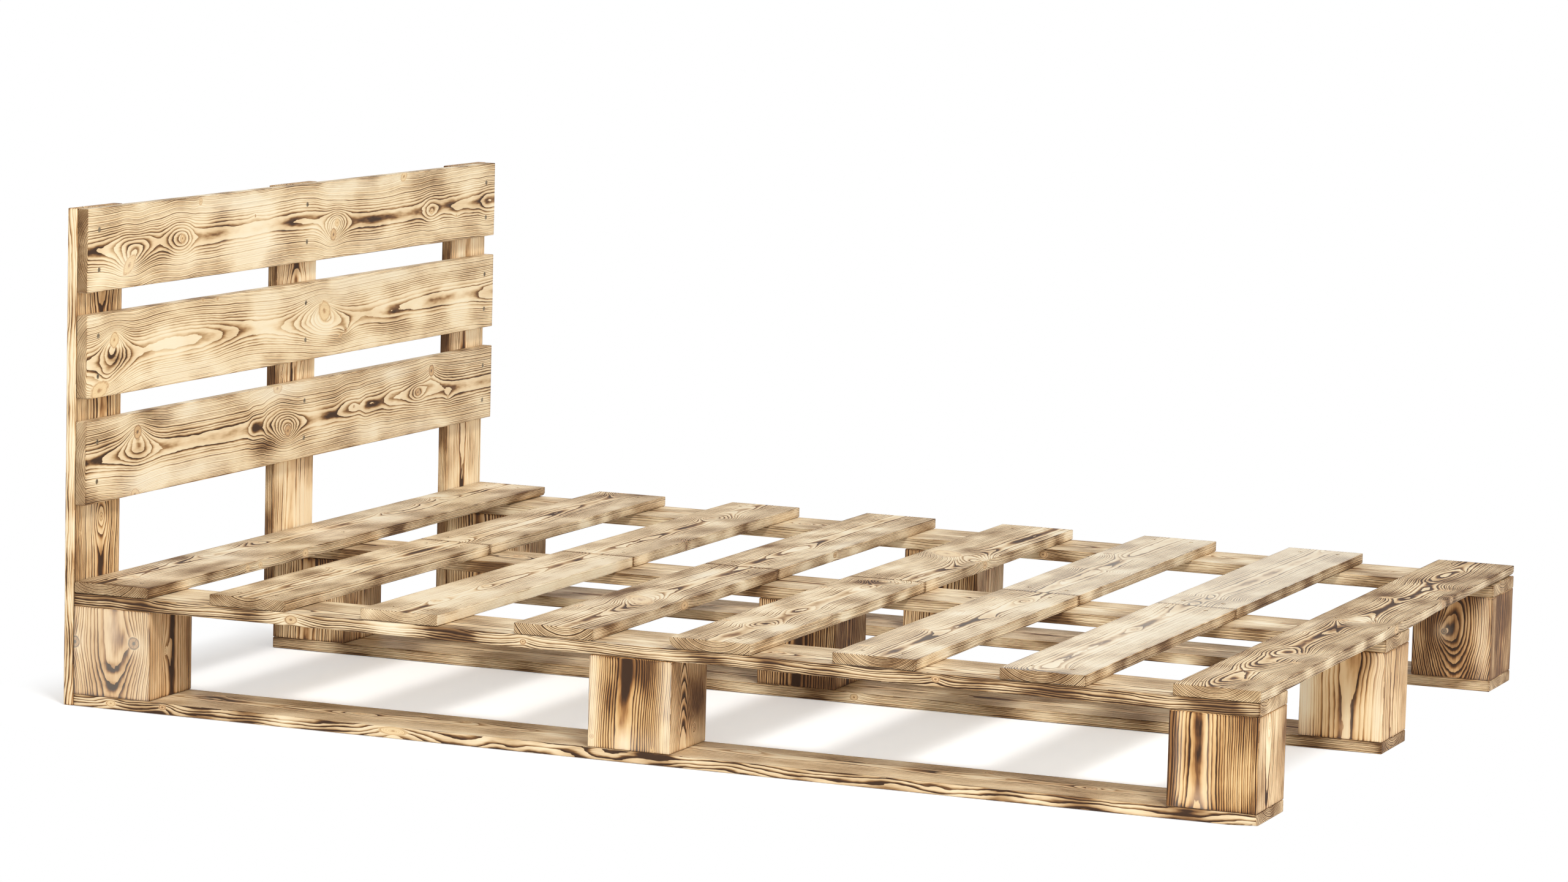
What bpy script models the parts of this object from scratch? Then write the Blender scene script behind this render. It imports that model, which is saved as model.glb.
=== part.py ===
"""Pallet bed with a slatted headboard, built from planed softwood boards and square blocks.

Three lengthwise frames stand on the floor, each a runner, three blocks and a top rail.
Eight rows of slats lie across them. Three posts at the head end carry three wide boards.
Units are metres. +X runs across the bed, +Y towards the head end and +Z up.
The origin is on the floor under the middle of the whole bed.
"""

import math

import bmesh
import bpy
from mathutils import Matrix

# Clearances
SEAT_GAP = 0.0003
BUTT_GAP = 0.0015

# Overall size of the base
BED_LENGTH = 2.000
BED_WIDTH = 1.500

# Lengthwise frames
RUNNER_WIDTH = 0.140
RUNNER_THICKNESS = 0.019
BLOCK_LENGTH = 0.140
BLOCK_WIDTH = 0.140
BLOCK_HEIGHT = 0.1445
RAIL_WIDTH = 0.140
RAIL_THICKNESS = 0.021

# Slats
SLAT_WIDTH = 0.136
SLAT_THICKNESS = 0.018
WANE_WIDTH = 0.015
WANE_SEGMENTS = 4
WANE_PROFILE_SHARE = 0.5
WANE_SLAT = "slat_5_near"

# Headboard
HEADBOARD_HEIGHT = 0.808
POST_WIDTH = 0.145
POST_THICKNESS = 0.018
MIDDLE_POST_LIFT = 0.070
BOARD_THICKNESS = 0.019
BOARD_SPACING = 0.036
DECK_CLEARANCE = 0.1246

# Worn arris on every sawn edge
ARRIS = 0.0015
ARRIS_MIN_ANGLE = math.radians(40.0)

# Screws that hold the headboard boards to the posts
BOARD_SCREW_HEAD_RADIUS = 0.0040
BOARD_SCREW_HEAD_HEIGHT = 0.0032
BOARD_SCREW_SHANK_RADIUS = 0.0020
BOARD_SCREW_TIP = 0.0040
BOARD_SCREW_COVER = 0.0040
BOARD_SCREW_EDGE = 0.037
BOARD_SCREW_MARGIN = 0.0355

# Screws that hold the posts to the head blocks
POST_SCREW_HEAD_RADIUS = 0.0050
POST_SCREW_HEAD_HEIGHT = 0.0040
POST_SCREW_SHANK_RADIUS = 0.0025
POST_SCREW_TIP = 0.0050
POST_SCREW_BITE = 0.042
POST_SCREW_MARGIN = 0.030

# How deep a screw's head lies below the wood, and how far a cutter overruns it
HEAD_SINK = 0.0005
CUT_OVERRUN = 0.005
HOLE_CLEARANCE = 0.0003
ROUND_STEPS = 12
MERGE_DISTANCE = 0.00005

# Places along the bed, from the foot end at 0 to the head end at 1
MIDDLE_BLOCK_SHARE = 0.507
SLAT_PLACE_SHARES = (1.0, 0.867, 0.722, 0.578, 0.436, 0.291, 0.146, 0.0)

# Finishes: linear colour, roughness and metallic share
FINISHES = {
    "slat_wood": ((0.72, 0.54, 0.34, 1.0), 0.55, 0.0),
    "rail_wood": ((0.66, 0.45, 0.23, 1.0), 0.60, 0.0),
    "block_wood": ((0.60, 0.40, 0.20, 1.0), 0.65, 0.0),
    "headboard_wood": ((0.75, 0.55, 0.31, 1.0), 0.55, 0.0),
    "post_wood": ((0.64, 0.44, 0.23, 1.0), 0.60, 0.0),
    "screw_steel": ((0.42, 0.39, 0.34, 1.0), 0.40, 1.0),
}

# Levels from the floor up
BLOCK_BOTTOM = RUNNER_THICKNESS + SEAT_GAP
BLOCK_TOP = BLOCK_BOTTOM + BLOCK_HEIGHT
RAIL_BOTTOM = BLOCK_TOP + SEAT_GAP
RAIL_TOP = RAIL_BOTTOM + RAIL_THICKNESS
DECK_BOTTOM = RAIL_TOP + SEAT_GAP
DECK_TOP = DECK_BOTTOM + SLAT_THICKNESS

# Lines across the bed, from the foot end to the back of the posts
FOOT_END = -(BED_LENGTH + SEAT_GAP + POST_THICKNESS) / 2
HEAD_END = FOOT_END + BED_LENGTH
POST_FRONT = HEAD_END + SEAT_GAP
BOARD_BACK = -SEAT_GAP

SIDES = {"near": -1, "middle": 0, "far": 1}
BOARD_ROWS = ("top", "centre", "bottom")

# The boards and the gaps between them fill the headboard down to its clearance over the deck
BOARD_PITCH = (HEADBOARD_HEIGHT - DECK_TOP - DECK_CLEARANCE + BOARD_SPACING) / len(BOARD_ROWS)
BOARD_HEIGHT = BOARD_PITCH - BOARD_SPACING


def clear_scene():
    """Remove whatever the open scene holds."""
    for obj in list(bpy.data.objects):
        bpy.data.objects.remove(obj, do_unlink=True)


def make_collection(name):
    """Add a collection to the scene."""
    collection = bpy.data.collections.new(name)
    bpy.context.scene.collection.children.link(collection)
    return collection


def make_material(name, colour, roughness, metallic):
    """Make a Principled material."""
    material = bpy.data.materials.new(name)
    material.use_nodes = True
    shader = material.node_tree.nodes["Principled BSDF"]
    shader.inputs["Base Color"].default_value = colour
    shader.inputs["Roughness"].default_value = roughness
    shader.inputs["Metallic"].default_value = metallic
    material.diffuse_color = colour
    return material


def make_empty(name, location, parent, collection):
    """Add an empty that carries one sub-assembly."""
    empty = bpy.data.objects.new(name, None)
    empty.location = location
    empty.parent = parent
    collection.objects.link(empty)
    return empty


def wane_edge(bm, width, thickness):
    """Round off the lower edge on the head side, as the bark side of the log left it."""
    edges = [
        edge
        for edge in bm.edges
        if all(v.co.y > width / 4 and v.co.z < -thickness / 4 for v in edge.verts)
    ]
    bmesh.ops.bevel(
        bm,
        geom=edges,
        offset=WANE_WIDTH,
        offset_type="OFFSET",
        segments=WANE_SEGMENTS,
        profile=WANE_PROFILE_SHARE,
        affect="EDGES",
    )


def make_board(name, size, location, parent, collection, material):
    """Add a board or block with worn arrises, centred on its location."""
    mesh = bpy.data.meshes.new(name)
    bm = bmesh.new()
    bmesh.ops.create_cube(bm, size=1.0, matrix=Matrix.Diagonal((*size, 1.0)))
    if name == WANE_SLAT:
        wane_edge(bm, size[1], size[2])
    bm.to_mesh(mesh)
    bm.free()
    mesh.materials.append(material)
    board = bpy.data.objects.new(name, mesh)
    board.location = location
    board.parent = parent
    collection.objects.link(board)
    bevel = board.modifiers.new("arris", "BEVEL")
    bevel.width = ARRIS
    bevel.segments = 1
    bevel.limit_method = "ANGLE"
    bevel.angle_limit = ARRIS_MIN_ANGLE
    return board


def profile_mesh(name, profile):
    """Make a mesh of the edges that a turned shape is swept from, top to bottom."""
    mesh = bpy.data.meshes.new(name)
    points = [(radius, 0.0, height) for radius, height in profile]
    edges = [(i, i + 1) for i in range(len(points) - 1)]
    mesh.from_pydata(points, edges, [])
    return mesh


def screw_profile(head_radius, head_height, shank_radius, tip, length):
    """Outline a countersunk screw. The wood's surface is at height zero."""
    return (
        (0.0, -HEAD_SINK),
        (head_radius, -HEAD_SINK),
        (shank_radius, -HEAD_SINK - head_height),
        (shank_radius, tip - length),
        (0.0, -length),
    )


def hole_profile(head_radius, head_height, shank_radius, tip, length):
    """Outline the countersunk hole that clears the same screw."""
    return (
        (0.0, CUT_OVERRUN),
        (head_radius + HOLE_CLEARANCE, CUT_OVERRUN),
        (head_radius + HOLE_CLEARANCE, -HEAD_SINK),
        (shank_radius + HOLE_CLEARANCE, -HEAD_SINK - head_height),
        (shank_radius + HOLE_CLEARANCE, tip - length),
        (0.0, -length - HOLE_CLEARANCE),
    )


def make_turned(name, mesh, location, tilt, parent, collection):
    """Sweep a profile round its own Z axis, then tilt it about X."""
    turned = bpy.data.objects.new(name, mesh)
    turned.location = location
    turned.rotation_euler = (tilt, 0.0, 0.0)
    turned.parent = parent
    collection.objects.link(turned)
    sweep = turned.modifiers.new("turn", "SCREW")
    sweep.steps = ROUND_STEPS
    sweep.render_steps = ROUND_STEPS
    sweep.use_merge_vertices = True
    sweep.merge_threshold = MERGE_DISTANCE
    return turned


def drive_screw(name, meshes, location, tilt, parent, groups, woods):
    """Set a screw in its place and cut its hole through the pieces of wood it joins."""
    make_turned(name, meshes["screw"], location, tilt, parent, groups["parts"])
    cutter = make_turned(name + "_hole", meshes["hole"], location, tilt, parent, groups["cutters"])
    cutter.hide_render = True
    cutter.display_type = "WIRE"
    for wood in woods:
        cut = wood.modifiers.new(name + "_hole", "BOOLEAN")
        cut.operation = "DIFFERENCE"
        cut.solver = "EXACT"
        cut.object = cutter


def side_centre(side, width):
    """Give the X of a piece whose outer face is flush with the bed's side."""
    return side * (BED_WIDTH - width) / 2


def block_places():
    """Give the Y of the middle of each of a frame's three blocks."""
    head = HEAD_END - BLOCK_LENGTH / 2
    foot = FOOT_END + BLOCK_LENGTH / 2
    return {"head": head, "middle": foot + MIDDLE_BLOCK_SHARE * (head - foot), "foot": foot}


def make_frames(root, groups, materials):
    """Build the three runners, nine blocks and three rails, and return the head blocks."""
    head_blocks = {}
    middle = FOOT_END + BED_LENGTH / 2
    for side_name, side in SIDES.items():
        frame = make_empty("frame_" + side_name, (0.0, 0.0, 0.0), root, groups["parts"])
        make_board(
            "runner_" + side_name,
            (RUNNER_WIDTH, BED_LENGTH, RUNNER_THICKNESS),
            (side_centre(side, RUNNER_WIDTH), middle, RUNNER_THICKNESS / 2),
            frame,
            groups["parts"],
            materials["rail_wood"],
        )
        for station, along in block_places().items():
            block = make_board(
                f"block_{side_name}_{station}",
                (BLOCK_WIDTH, BLOCK_LENGTH, BLOCK_HEIGHT),
                (side_centre(side, BLOCK_WIDTH), along, BLOCK_BOTTOM + BLOCK_HEIGHT / 2),
                frame,
                groups["parts"],
                materials["block_wood"],
            )
            if station == "head":
                head_blocks[side_name] = block
        make_board(
            "rail_" + side_name,
            (RAIL_WIDTH, BED_LENGTH, RAIL_THICKNESS),
            (side_centre(side, RAIL_WIDTH), middle, RAIL_BOTTOM + RAIL_THICKNESS / 2),
            frame,
            groups["parts"],
            materials["rail_wood"],
        )
    return head_blocks


def make_deck(root, groups, materials):
    """Lay the eight rows of slats. The rows between the first and the last are two halves."""
    deck = make_empty("deck", (0.0, 0.0, DECK_BOTTOM), root, groups["parts"])
    half_length = (BED_WIDTH - BUTT_GAP) / 2
    for row, share in enumerate(SLAT_PLACE_SHARES, start=1):
        along = FOOT_END + SLAT_WIDTH / 2 + share * (BED_LENGTH - SLAT_WIDTH)
        if row in (1, len(SLAT_PLACE_SHARES)):
            pieces = {f"slat_{row}": (BED_WIDTH, 0.0)}
        else:
            pieces = {
                f"slat_{row}_near": (half_length, side_centre(SIDES["near"], half_length)),
                f"slat_{row}_far": (half_length, side_centre(SIDES["far"], half_length)),
            }
        for name, (length, across) in pieces.items():
            make_board(
                name,
                (length, SLAT_WIDTH, SLAT_THICKNESS),
                (across, along, SLAT_THICKNESS / 2),
                deck,
                groups["parts"],
                materials["slat_wood"],
            )


def post_foot(side_name):
    """Give the height of a post's lower end above the floor."""
    return MIDDLE_POST_LIFT if side_name == "middle" else 0.0


def make_posts(headboard, groups, materials):
    """Stand the three posts against the head end of the base."""
    posts = {}
    for side_name, side in SIDES.items():
        foot = post_foot(side_name)
        height = HEADBOARD_HEIGHT - foot
        posts[side_name] = make_board(
            "post_" + side_name,
            (POST_WIDTH, POST_THICKNESS, height),
            (side_centre(side, POST_WIDTH), POST_THICKNESS / 2, foot + height / 2),
            headboard,
            groups["parts"],
            materials["post_wood"],
        )
    return posts


def board_height(row):
    """Give the height of the middle of a headboard board, counted from the top."""
    return HEADBOARD_HEIGHT - BOARD_HEIGHT / 2 - row * BOARD_PITCH


def make_headboard_boards(headboard, groups, materials):
    """Hang the three wide boards on the bed side of the posts."""
    boards = {}
    for row, row_name in enumerate(BOARD_ROWS):
        boards[row_name] = make_board(
            "headboard_board_" + row_name,
            (BED_WIDTH, BOARD_THICKNESS, BOARD_HEIGHT),
            (0.0, BOARD_BACK - BOARD_THICKNESS / 2, board_height(row)),
            headboard,
            groups["parts"],
            materials["headboard_wood"],
        )
    return boards


def screw_meshes(name, dims, length, material):
    """Make the meshes that all screws of one size, and all their holes, share."""
    meshes = {
        "screw": profile_mesh(name, screw_profile(*dims, length)),
        "hole": profile_mesh(name + "_hole", hole_profile(*dims, length)),
    }
    meshes["screw"].materials.append(material)
    return meshes


def drive_board_screws(headboard, groups, materials, boards, posts):
    """Screw each board to each post with two screws, their heads on the bed side."""
    dims = (
        BOARD_SCREW_HEAD_RADIUS,
        BOARD_SCREW_HEAD_HEIGHT,
        BOARD_SCREW_SHANK_RADIUS,
        BOARD_SCREW_TIP,
    )
    length = BOARD_THICKNESS + SEAT_GAP + POST_THICKNESS - BOARD_SCREW_COVER
    meshes = screw_meshes("board_screw", dims, length, materials["screw_steel"])
    rise = BOARD_HEIGHT / 2 - BOARD_SCREW_MARGIN
    for row, row_name in enumerate(BOARD_ROWS):
        for side_name, side in SIDES.items():
            across = side * (BED_WIDTH / 2 - BOARD_SCREW_EDGE)
            for level_name, offset in {"upper": rise, "lower": -rise}.items():
                drive_screw(
                    f"board_screw_{row_name}_{side_name}_{level_name}",
                    meshes,
                    (across, BOARD_BACK - BOARD_THICKNESS, board_height(row) + offset),
                    math.pi / 2,
                    headboard,
                    groups,
                    (boards[row_name], posts[side_name]),
                )


def drive_post_screws(headboard, groups, materials, posts, head_blocks):
    """Screw each post to its head block with two screws, their heads on the wall side."""
    dims = (
        POST_SCREW_HEAD_RADIUS,
        POST_SCREW_HEAD_HEIGHT,
        POST_SCREW_SHANK_RADIUS,
        POST_SCREW_TIP,
    )
    length = POST_THICKNESS + SEAT_GAP + POST_SCREW_BITE
    meshes = screw_meshes("post_screw", dims, length, materials["screw_steel"])
    for side_name, side in SIDES.items():
        heights = {
            "upper": BLOCK_TOP - POST_SCREW_MARGIN,
            "lower": max(BLOCK_BOTTOM, post_foot(side_name)) + POST_SCREW_MARGIN,
        }
        for level_name, height in heights.items():
            drive_screw(
                f"post_screw_{side_name}_{level_name}",
                meshes,
                (side_centre(side, BLOCK_WIDTH), POST_THICKNESS, height),
                -math.pi / 2,
                headboard,
                groups,
                (posts[side_name], head_blocks[side_name]),
            )


def main():
    """Build the whole bed."""
    clear_scene()
    groups = {
        "parts": make_collection("pallet_bed"),
        "cutters": make_collection("pallet_bed_cutters"),
    }
    materials = {name: make_material(name, *finish) for name, finish in FINISHES.items()}
    root = make_empty("pallet_bed", (0.0, 0.0, 0.0), None, groups["parts"])
    head_blocks = make_frames(root, groups, materials)
    make_deck(root, groups, materials)
    headboard = make_empty("headboard", (0.0, POST_FRONT, 0.0), root, groups["parts"])
    posts = make_posts(headboard, groups, materials)
    boards = make_headboard_boards(headboard, groups, materials)
    drive_board_screws(headboard, groups, materials, boards, posts)
    drive_post_screws(headboard, groups, materials, posts, head_blocks)
    bpy.context.view_layer.update()


main()
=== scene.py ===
"""Looks of the pallet bed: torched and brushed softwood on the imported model, in a white studio.

Every board and block is rebuilt as a worn solid with its own virtual log. Rings, cathedrals and
knots come from that log, so faces, edges and ends agree with each other.
Lengths in the tables are in millimetres, and everything else is in metres.
"""

import math

import bmesh
import bpy
import numpy as np
from mathutils import Matrix, Vector


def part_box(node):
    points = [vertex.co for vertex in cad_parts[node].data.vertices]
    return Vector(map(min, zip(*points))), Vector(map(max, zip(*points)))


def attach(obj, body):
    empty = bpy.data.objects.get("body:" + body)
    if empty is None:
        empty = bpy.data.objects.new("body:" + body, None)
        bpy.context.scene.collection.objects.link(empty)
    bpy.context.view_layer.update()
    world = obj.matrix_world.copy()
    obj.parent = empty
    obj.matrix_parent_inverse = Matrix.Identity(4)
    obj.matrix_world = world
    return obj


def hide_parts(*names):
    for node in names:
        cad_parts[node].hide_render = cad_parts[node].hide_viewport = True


MM = 0.001
TINY = 1e-6

# A log's line table as a colour ramp: the range of its rings and of its middle's places, the most
# stops that it takes, and where a block's stops for its faces towards the bed's ends begin
LEVEL_LOW = -20.0
LEVEL_SPAN = 40.0
CENTRE_SPAN = 0.400
MAX_STOPS = 32
SECOND_FACE = 0.200

# The skin of a board: its worn edges, the spacing of its points and its unevenness
ARRIS_RADIUS = 0.0015
ARRIS_ANGLES = (30.0, 60.0)
EDGE_STEPS = (0.0025, 0.0060, 0.0110, 0.0180)
PITCH = 0.0120
BLOCK_PITCH = 0.0090
PITCH_ACROSS = 0.0075
SIDE_STEPS = 3
SURFACE_DROP = 0.00012
SURFACE_SWELL = 0.00022
CORNER_REACH = 4
SMOOTH_ANGLE = math.radians(38.0)

# Uneven fields: what each adds to a piece's seed, and the lengths of its waves along and across
SKIN_FIELD = (50, 0.23, 0.11)
WEAR_FIELD = (5, 0.09, 0.30)
TORCH_FIELD = (11, 0.21, 0.14)
BAR_FIELD = (31, 0.15, 0.50)
BAR_REACH_FIELD = (37, 0.80, 3.00)
FIELD_WAVES = 7
FIELD_SLANT = (-1.0, 1.0)
FIELD_STRETCH = (0.6, 1.7)
FIELD_SPAN = 6.0

# Screws: the slats' own, and how every screw's parts go with its head
DECK_HEAD_RADIUS = 0.0036
DECK_SHANK_RADIUS = 0.0018
DECK_SCREW_LENGTH = 0.0120
DECK_HEAD_SINK = 0.0007
DECK_HEAD_DEPTH = 0.0030
HOLE_MARGIN = 0.0005
HOLE_PLAY = 0.0004
HOLE_DEEPER = 1.5
HOLE_OVER = 0.0040
DECK_SCREW_ROWS = (0.037, 0.102)
DECK_SCREW_END = 0.043
DECK_SCREW_WANDER = 0.003
DECK_SEED = 3
LONG_SLAT = 1.0
SHANK_SHARE = 0.5
CONE_SHARE = 0.8
POINT_SHARE = 0.15
HEAD_FLAT = 0.97
HEAD_UNDER = 0.98
HEAD_EDGE = 0.0002
HEAD_BAND = 0.0005
CROSS_REACH = 0.62
CROSS_WIDTH = 0.13
CROSS_DEPTH = 0.55
CROSS_TAPER = 0.45
CROSS_OVER = 0.0006
SCREW_TURNS = 17
TURN_STEPS = 20


# Timber

# the wash is partly pale weathering and partly a painted sheen of grazing light, mostly on slats 6 and 7
# Each piece is cut from a virtual log of its own. Its facts are in millimetres, along it from its
# start and across it from one edge. A block's places from 200 on are on its faces towards the
# bed's two ends.
# seed and start: what its noises start from, and where along the log it begins
# ring, side_ring and depth: how wide one ring is on its broad faces and on its narrow sides, and
# how far the log's middle lies below the broad face
# lines, wander and sway: how dark the rings' lines are, and how far they stray on faces and sides
# bars, patch and warm: how strong the burnt bars on its narrow sides, the torched patches on all
# its faces and the warm tone are
# burn, side_burn, end_burn and wash: how burnt its faces, sides and ends are, and how whitened
# line: places along it, with the ring that shows over the log's middle and where that middle lies
# knots: along, across, half length, half width, tilt in degrees, rings bent by it, and darkness
# side_knots: the same on the narrow side at 0 across, with the height there and without a tilt
# burns and pales: dark and bright patches, as along, across, reach along, reach across, amount
# corners: rounded corners, as the end, the side and the radius
# wane: an edge where the bark side shows, as its sides across and through, and for each of them
# how far it reaches in, as places along and amounts
COMMON = {
    "ring": 2.7, "side_ring": 2.1, "depth": 45.0, "lines": 1.0, "wander": 0.6, "sway": 3.5,
    "bars": 1.1, "patch": 0.35, "warm": 0.0, "burn": 0.45, "side_burn": 0.5, "end_burn": 0.6,
    "wash": 0.0, "knots": (), "side_knots": (), "burns": (), "pales": (), "corners": (),
    "wane": (),
}
FAMILIES = {
    "slat": {"ring": 2.15, "lines": 1.13, "patch": 0.45},
    "rail": {"ring": 2.5, "depth": 55, "sway": 5.0, "patch": 0.5},
    "runner": {"ring": 2.6, "depth": 58, "sway": 5.0, "patch": 0.5, "burn": 0.6, "side_burn": 0.7},
    "headboard": {},
    "post": {"ring": 3.0, "side_ring": 2.6, "depth": 58, "patch": 0.45},
    "block": {"ring": 2.6, "patch": 0.5},
}
FAR_HALF_START = 750.75
TIMBER = {}


def piece(name, **facts):
    """Note one piece's facts, on top of those of its family."""
    family = name.split("_")[0]
    start = FAR_HALF_START if family == "slat" and name.endswith("_far") else 0.0
    TIMBER[name] = {**COMMON, "start": start, **FAMILIES[family], **facts}


piece(
    "headboard_board_top", seed=1, ring=1.75, depth=60, warm=0.22, burn=0.4, end_burn=1.05,
    line=(
        (0, 3.12, 66), (26, 3.02, 66), (60, 2.7, 66), (95, 2.05, 66), (125, 1.5, 66), (160, 1.6, 62),
        (200, 1.9, 66), (235, 2.05, 68), (262, 1.2, 69), (290, 0.2, 69), (330, 0.9, 68), (352, 2.08, 68),
        (430, 2.2, 69), (520, 2.35, 70), (610, 2.3, 72), (680, 2.1, 74), (720, 1.84, 74), (780, 1.86, 72),
        (822, 2.1, 66), (900, 2.3, 62), (940, 2.14, 61), (1010, 2.08, 60), (1090, 2.1, 61), (1160, 2.3, 64),
        (1198, 2.02, 65), (1226, 1.1, 65), (1280, 1.3, 66), (1312, 1.03, 67), (1340, 0.8, 67),
        (1400, 0.25, 68), (1436, 0.03, 68), (1464, -0.9, 67), (1500, -1.5, 66),
    ),
    knots=(
        (134, 37, 25, 13, 35, -4.5, 0.1), (309, 69, 8, 8, 0, -2, 0.35), (370, 127, 7, 6, 40, -1.6, 0.3),
        (561, 92, 3, 3, 0, -0.6, 0.7), (849, 42, 13, 12, 30, -5.5, 0.55), (862, 62, 9, 8, 0, -3, 0.1),
        (1120, 130, 14, 9, 20, -2.2, 0.15), (1236, 60, 7, 6, 0, -1.5, 0.3), (1338, 46, 4, 3, 0, -0.9, 0.4),
    ),
    burns=(
        (5, 67, 40, 16, 0.75), (118, 70, 26, 16, 0.45), (60, 96, 80, 9, 0.3), (60, 42, 70, 9, 0.4),
        (420, 72, 100, 8, 0.2), (700, 74, 50, 12, 0.4), (690, 32, 90, 20, 0.3), (800, 78, 60, 12, 0.45),
        (1040, 61, 80, 11, 0.75), (1230, 112, 60, 22, 0.45), (1290, 66, 60, 14, 0.45),
        (1450, 66, 50, 20, 0.5), (270, 8, 60, 10, 0.25), (1150, 45, 160, 12, 0.2),
    ),
    pales=(
        (480, 118, 120, 16, 0.5), (500, 40, 60, 30, 0.3), (600, 30, 60, 40, 0.35), (330, 28, 60, 20, 0.25),
        (134, 37, 32, 18, 0.4), (940, 125, 120, 10, 0.35), (1000, 20, 80, 16, 0.2),
    ),
)
piece(
    "headboard_board_centre", seed=2, ring=1.85, depth=62, warm=0.24, burn=0.22, end_burn=0.62,
    line=(
        (0, 1.6, 60), (40, 2.4, 62), (80, 2.05, 62), (120, 2.9, 62), (160, 3.4, 64), (220, 2.9, 68),
        (300, 2.6, 70), (400, 3.1, 70), (450, 3.9, 70), (520, 5, 72), (600, 5.4, 70), (680, 4.7, 66),
        (740, 3.6, 64), (800, 2.6, 62), (860, 2.4, 60), (920, 2.1, 62), (1000, 1.7, 64), (1060, 1.1, 64),
        (1140, 0.7, 66), (1200, 0.3, 67), (1300, 0.15, 68), (1400, 0.05, 68), (1440, -0.2, 67),
        (1500, -0.8, 66),
    ),
    knots=(
        (88, 90, 16, 14, 20, -7, 0.15), (42, 12, 32, 15, 12, -8, 0.12), (820, 81, 25, 19, -15, -7, 0.12),
        (901, 41, 6, 5, 0, -2.2, 0.85), (882, 33, 9, 3, 20, -0.8, 0.4), (382, 134, 4, 3, 0, -0.6, 0.6),
        (432, 132, 5, 3, 0, -0.6, 0.6),
    ),
    burns=(
        (92, 60, 20, 12, 0.9), (130, 62, 24, 14, 0.6), (30, 50, 50, 30, 0.35), (500, 72, 60, 14, 0.15),
        (860, 28, 60, 12, 0.4), (1060, 45, 80, 10, 0.25), (1240, 56, 130, 8, 0.4), (1320, 68, 26, 7, 0.45),
        (1460, 66, 40, 12, 0.5), (1110, 30, 60, 20, 0.35), (1440, 110, 60, 20, 0.25),
        (1250, 105, 120, 10, 0.15),
    ),
    pales=(
        (300, 20, 160, 16, 0.3), (640, 110, 120, 14, 0.2), (900, 110, 60, 20, 0.3),
        (1040, 125, 160, 10, 0.35),
    ),
    corners=(("start", -1, 6), ("start", 1, 3)),
)
piece(
    "headboard_board_bottom", seed=3, ring=1.75, depth=58, warm=0.08, burn=0.43, end_burn=0.45,
    line=(
        (0, 3.15, 70), (40, 3.03, 70), (70, 2.7, 70), (120, 2.2, 70), (150, 1.6, 70), (190, 1.3, 70),
        (240, 2, 70), (300, 2.25, 70), (420, 2.3, 70), (500, 2.1, 70), (545, 2, 70), (562, 1.1, 71),
        (600, 1.02, 71), (612, 0.1, 71), (640, -0.9, 70), (670, -1.8, 68), (720, -0.9, 66),
        (750, -0.82, 66), (840, -0.9, 66), (872, -0.98, 67), (905, -1.9, 70), (960, -2, 70),
        (985, -2.95, 70), (1050, -3, 72), (1080, -3.9, 73), (1130, -4.2, 74), (1200, -4.6, 74),
        (1260, -4.8, 72), (1340, -4.8, 70), (1500, -4.75, 70),
    ),
    knots=(
        (167, 104, 14, 13, 0, -7, 0.7), (690, 54, 13, 12, 0, -5.5, 0.8), (1246, 110, 12, 12, 0, -4.5, 0.75),
        (1192, 75, 9, 8, 0, -3, 0.7), (938, 73, 3, 3, 0, -0.8, 0.8), (1316, 55, 4, 4, 0, -1.2, 0.5),
        (160, 2, 16, 10, 0, -4, 0.3), (650, 132, 18, 10, 0, -4, 0.15),
    ),
    burns=(
        (10, 70, 50, 14, 0.55), (168, 72, 36, 14, 0.7), (235, 118, 50, 14, 0.5), (40, 100, 60, 16, 0.35),
        (575, 70, 22, 18, 0.55), (625, 66, 24, 18, 0.6), (630, 36, 70, 16, 0.65), (850, 66, 40, 14, 0.5),
        (860, 16, 80, 12, 0.35), (1380, 95, 120, 26, 0.55), (1190, 76, 24, 12, 0.3),
        (1420, 30, 70, 24, 0.3), (1070, 100, 80, 16, 0.3), (330, 85, 120, 14, 0.3), (1000, 70, 60, 10, 0.2),
        (20, 8, 60, 12, 0.4),
    ),
    pales=(
        (330, 122, 80, 14, 0.4), (350, 22, 120, 16, 0.6), (660, 126, 90, 14, 0.7), (170, 18, 50, 18, 0.7),
        (1000, 22, 100, 14, 0.3), (1100, 120, 60, 12, 0.5), (1200, 12, 60, 12, 0.4),
    ),
)
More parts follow.
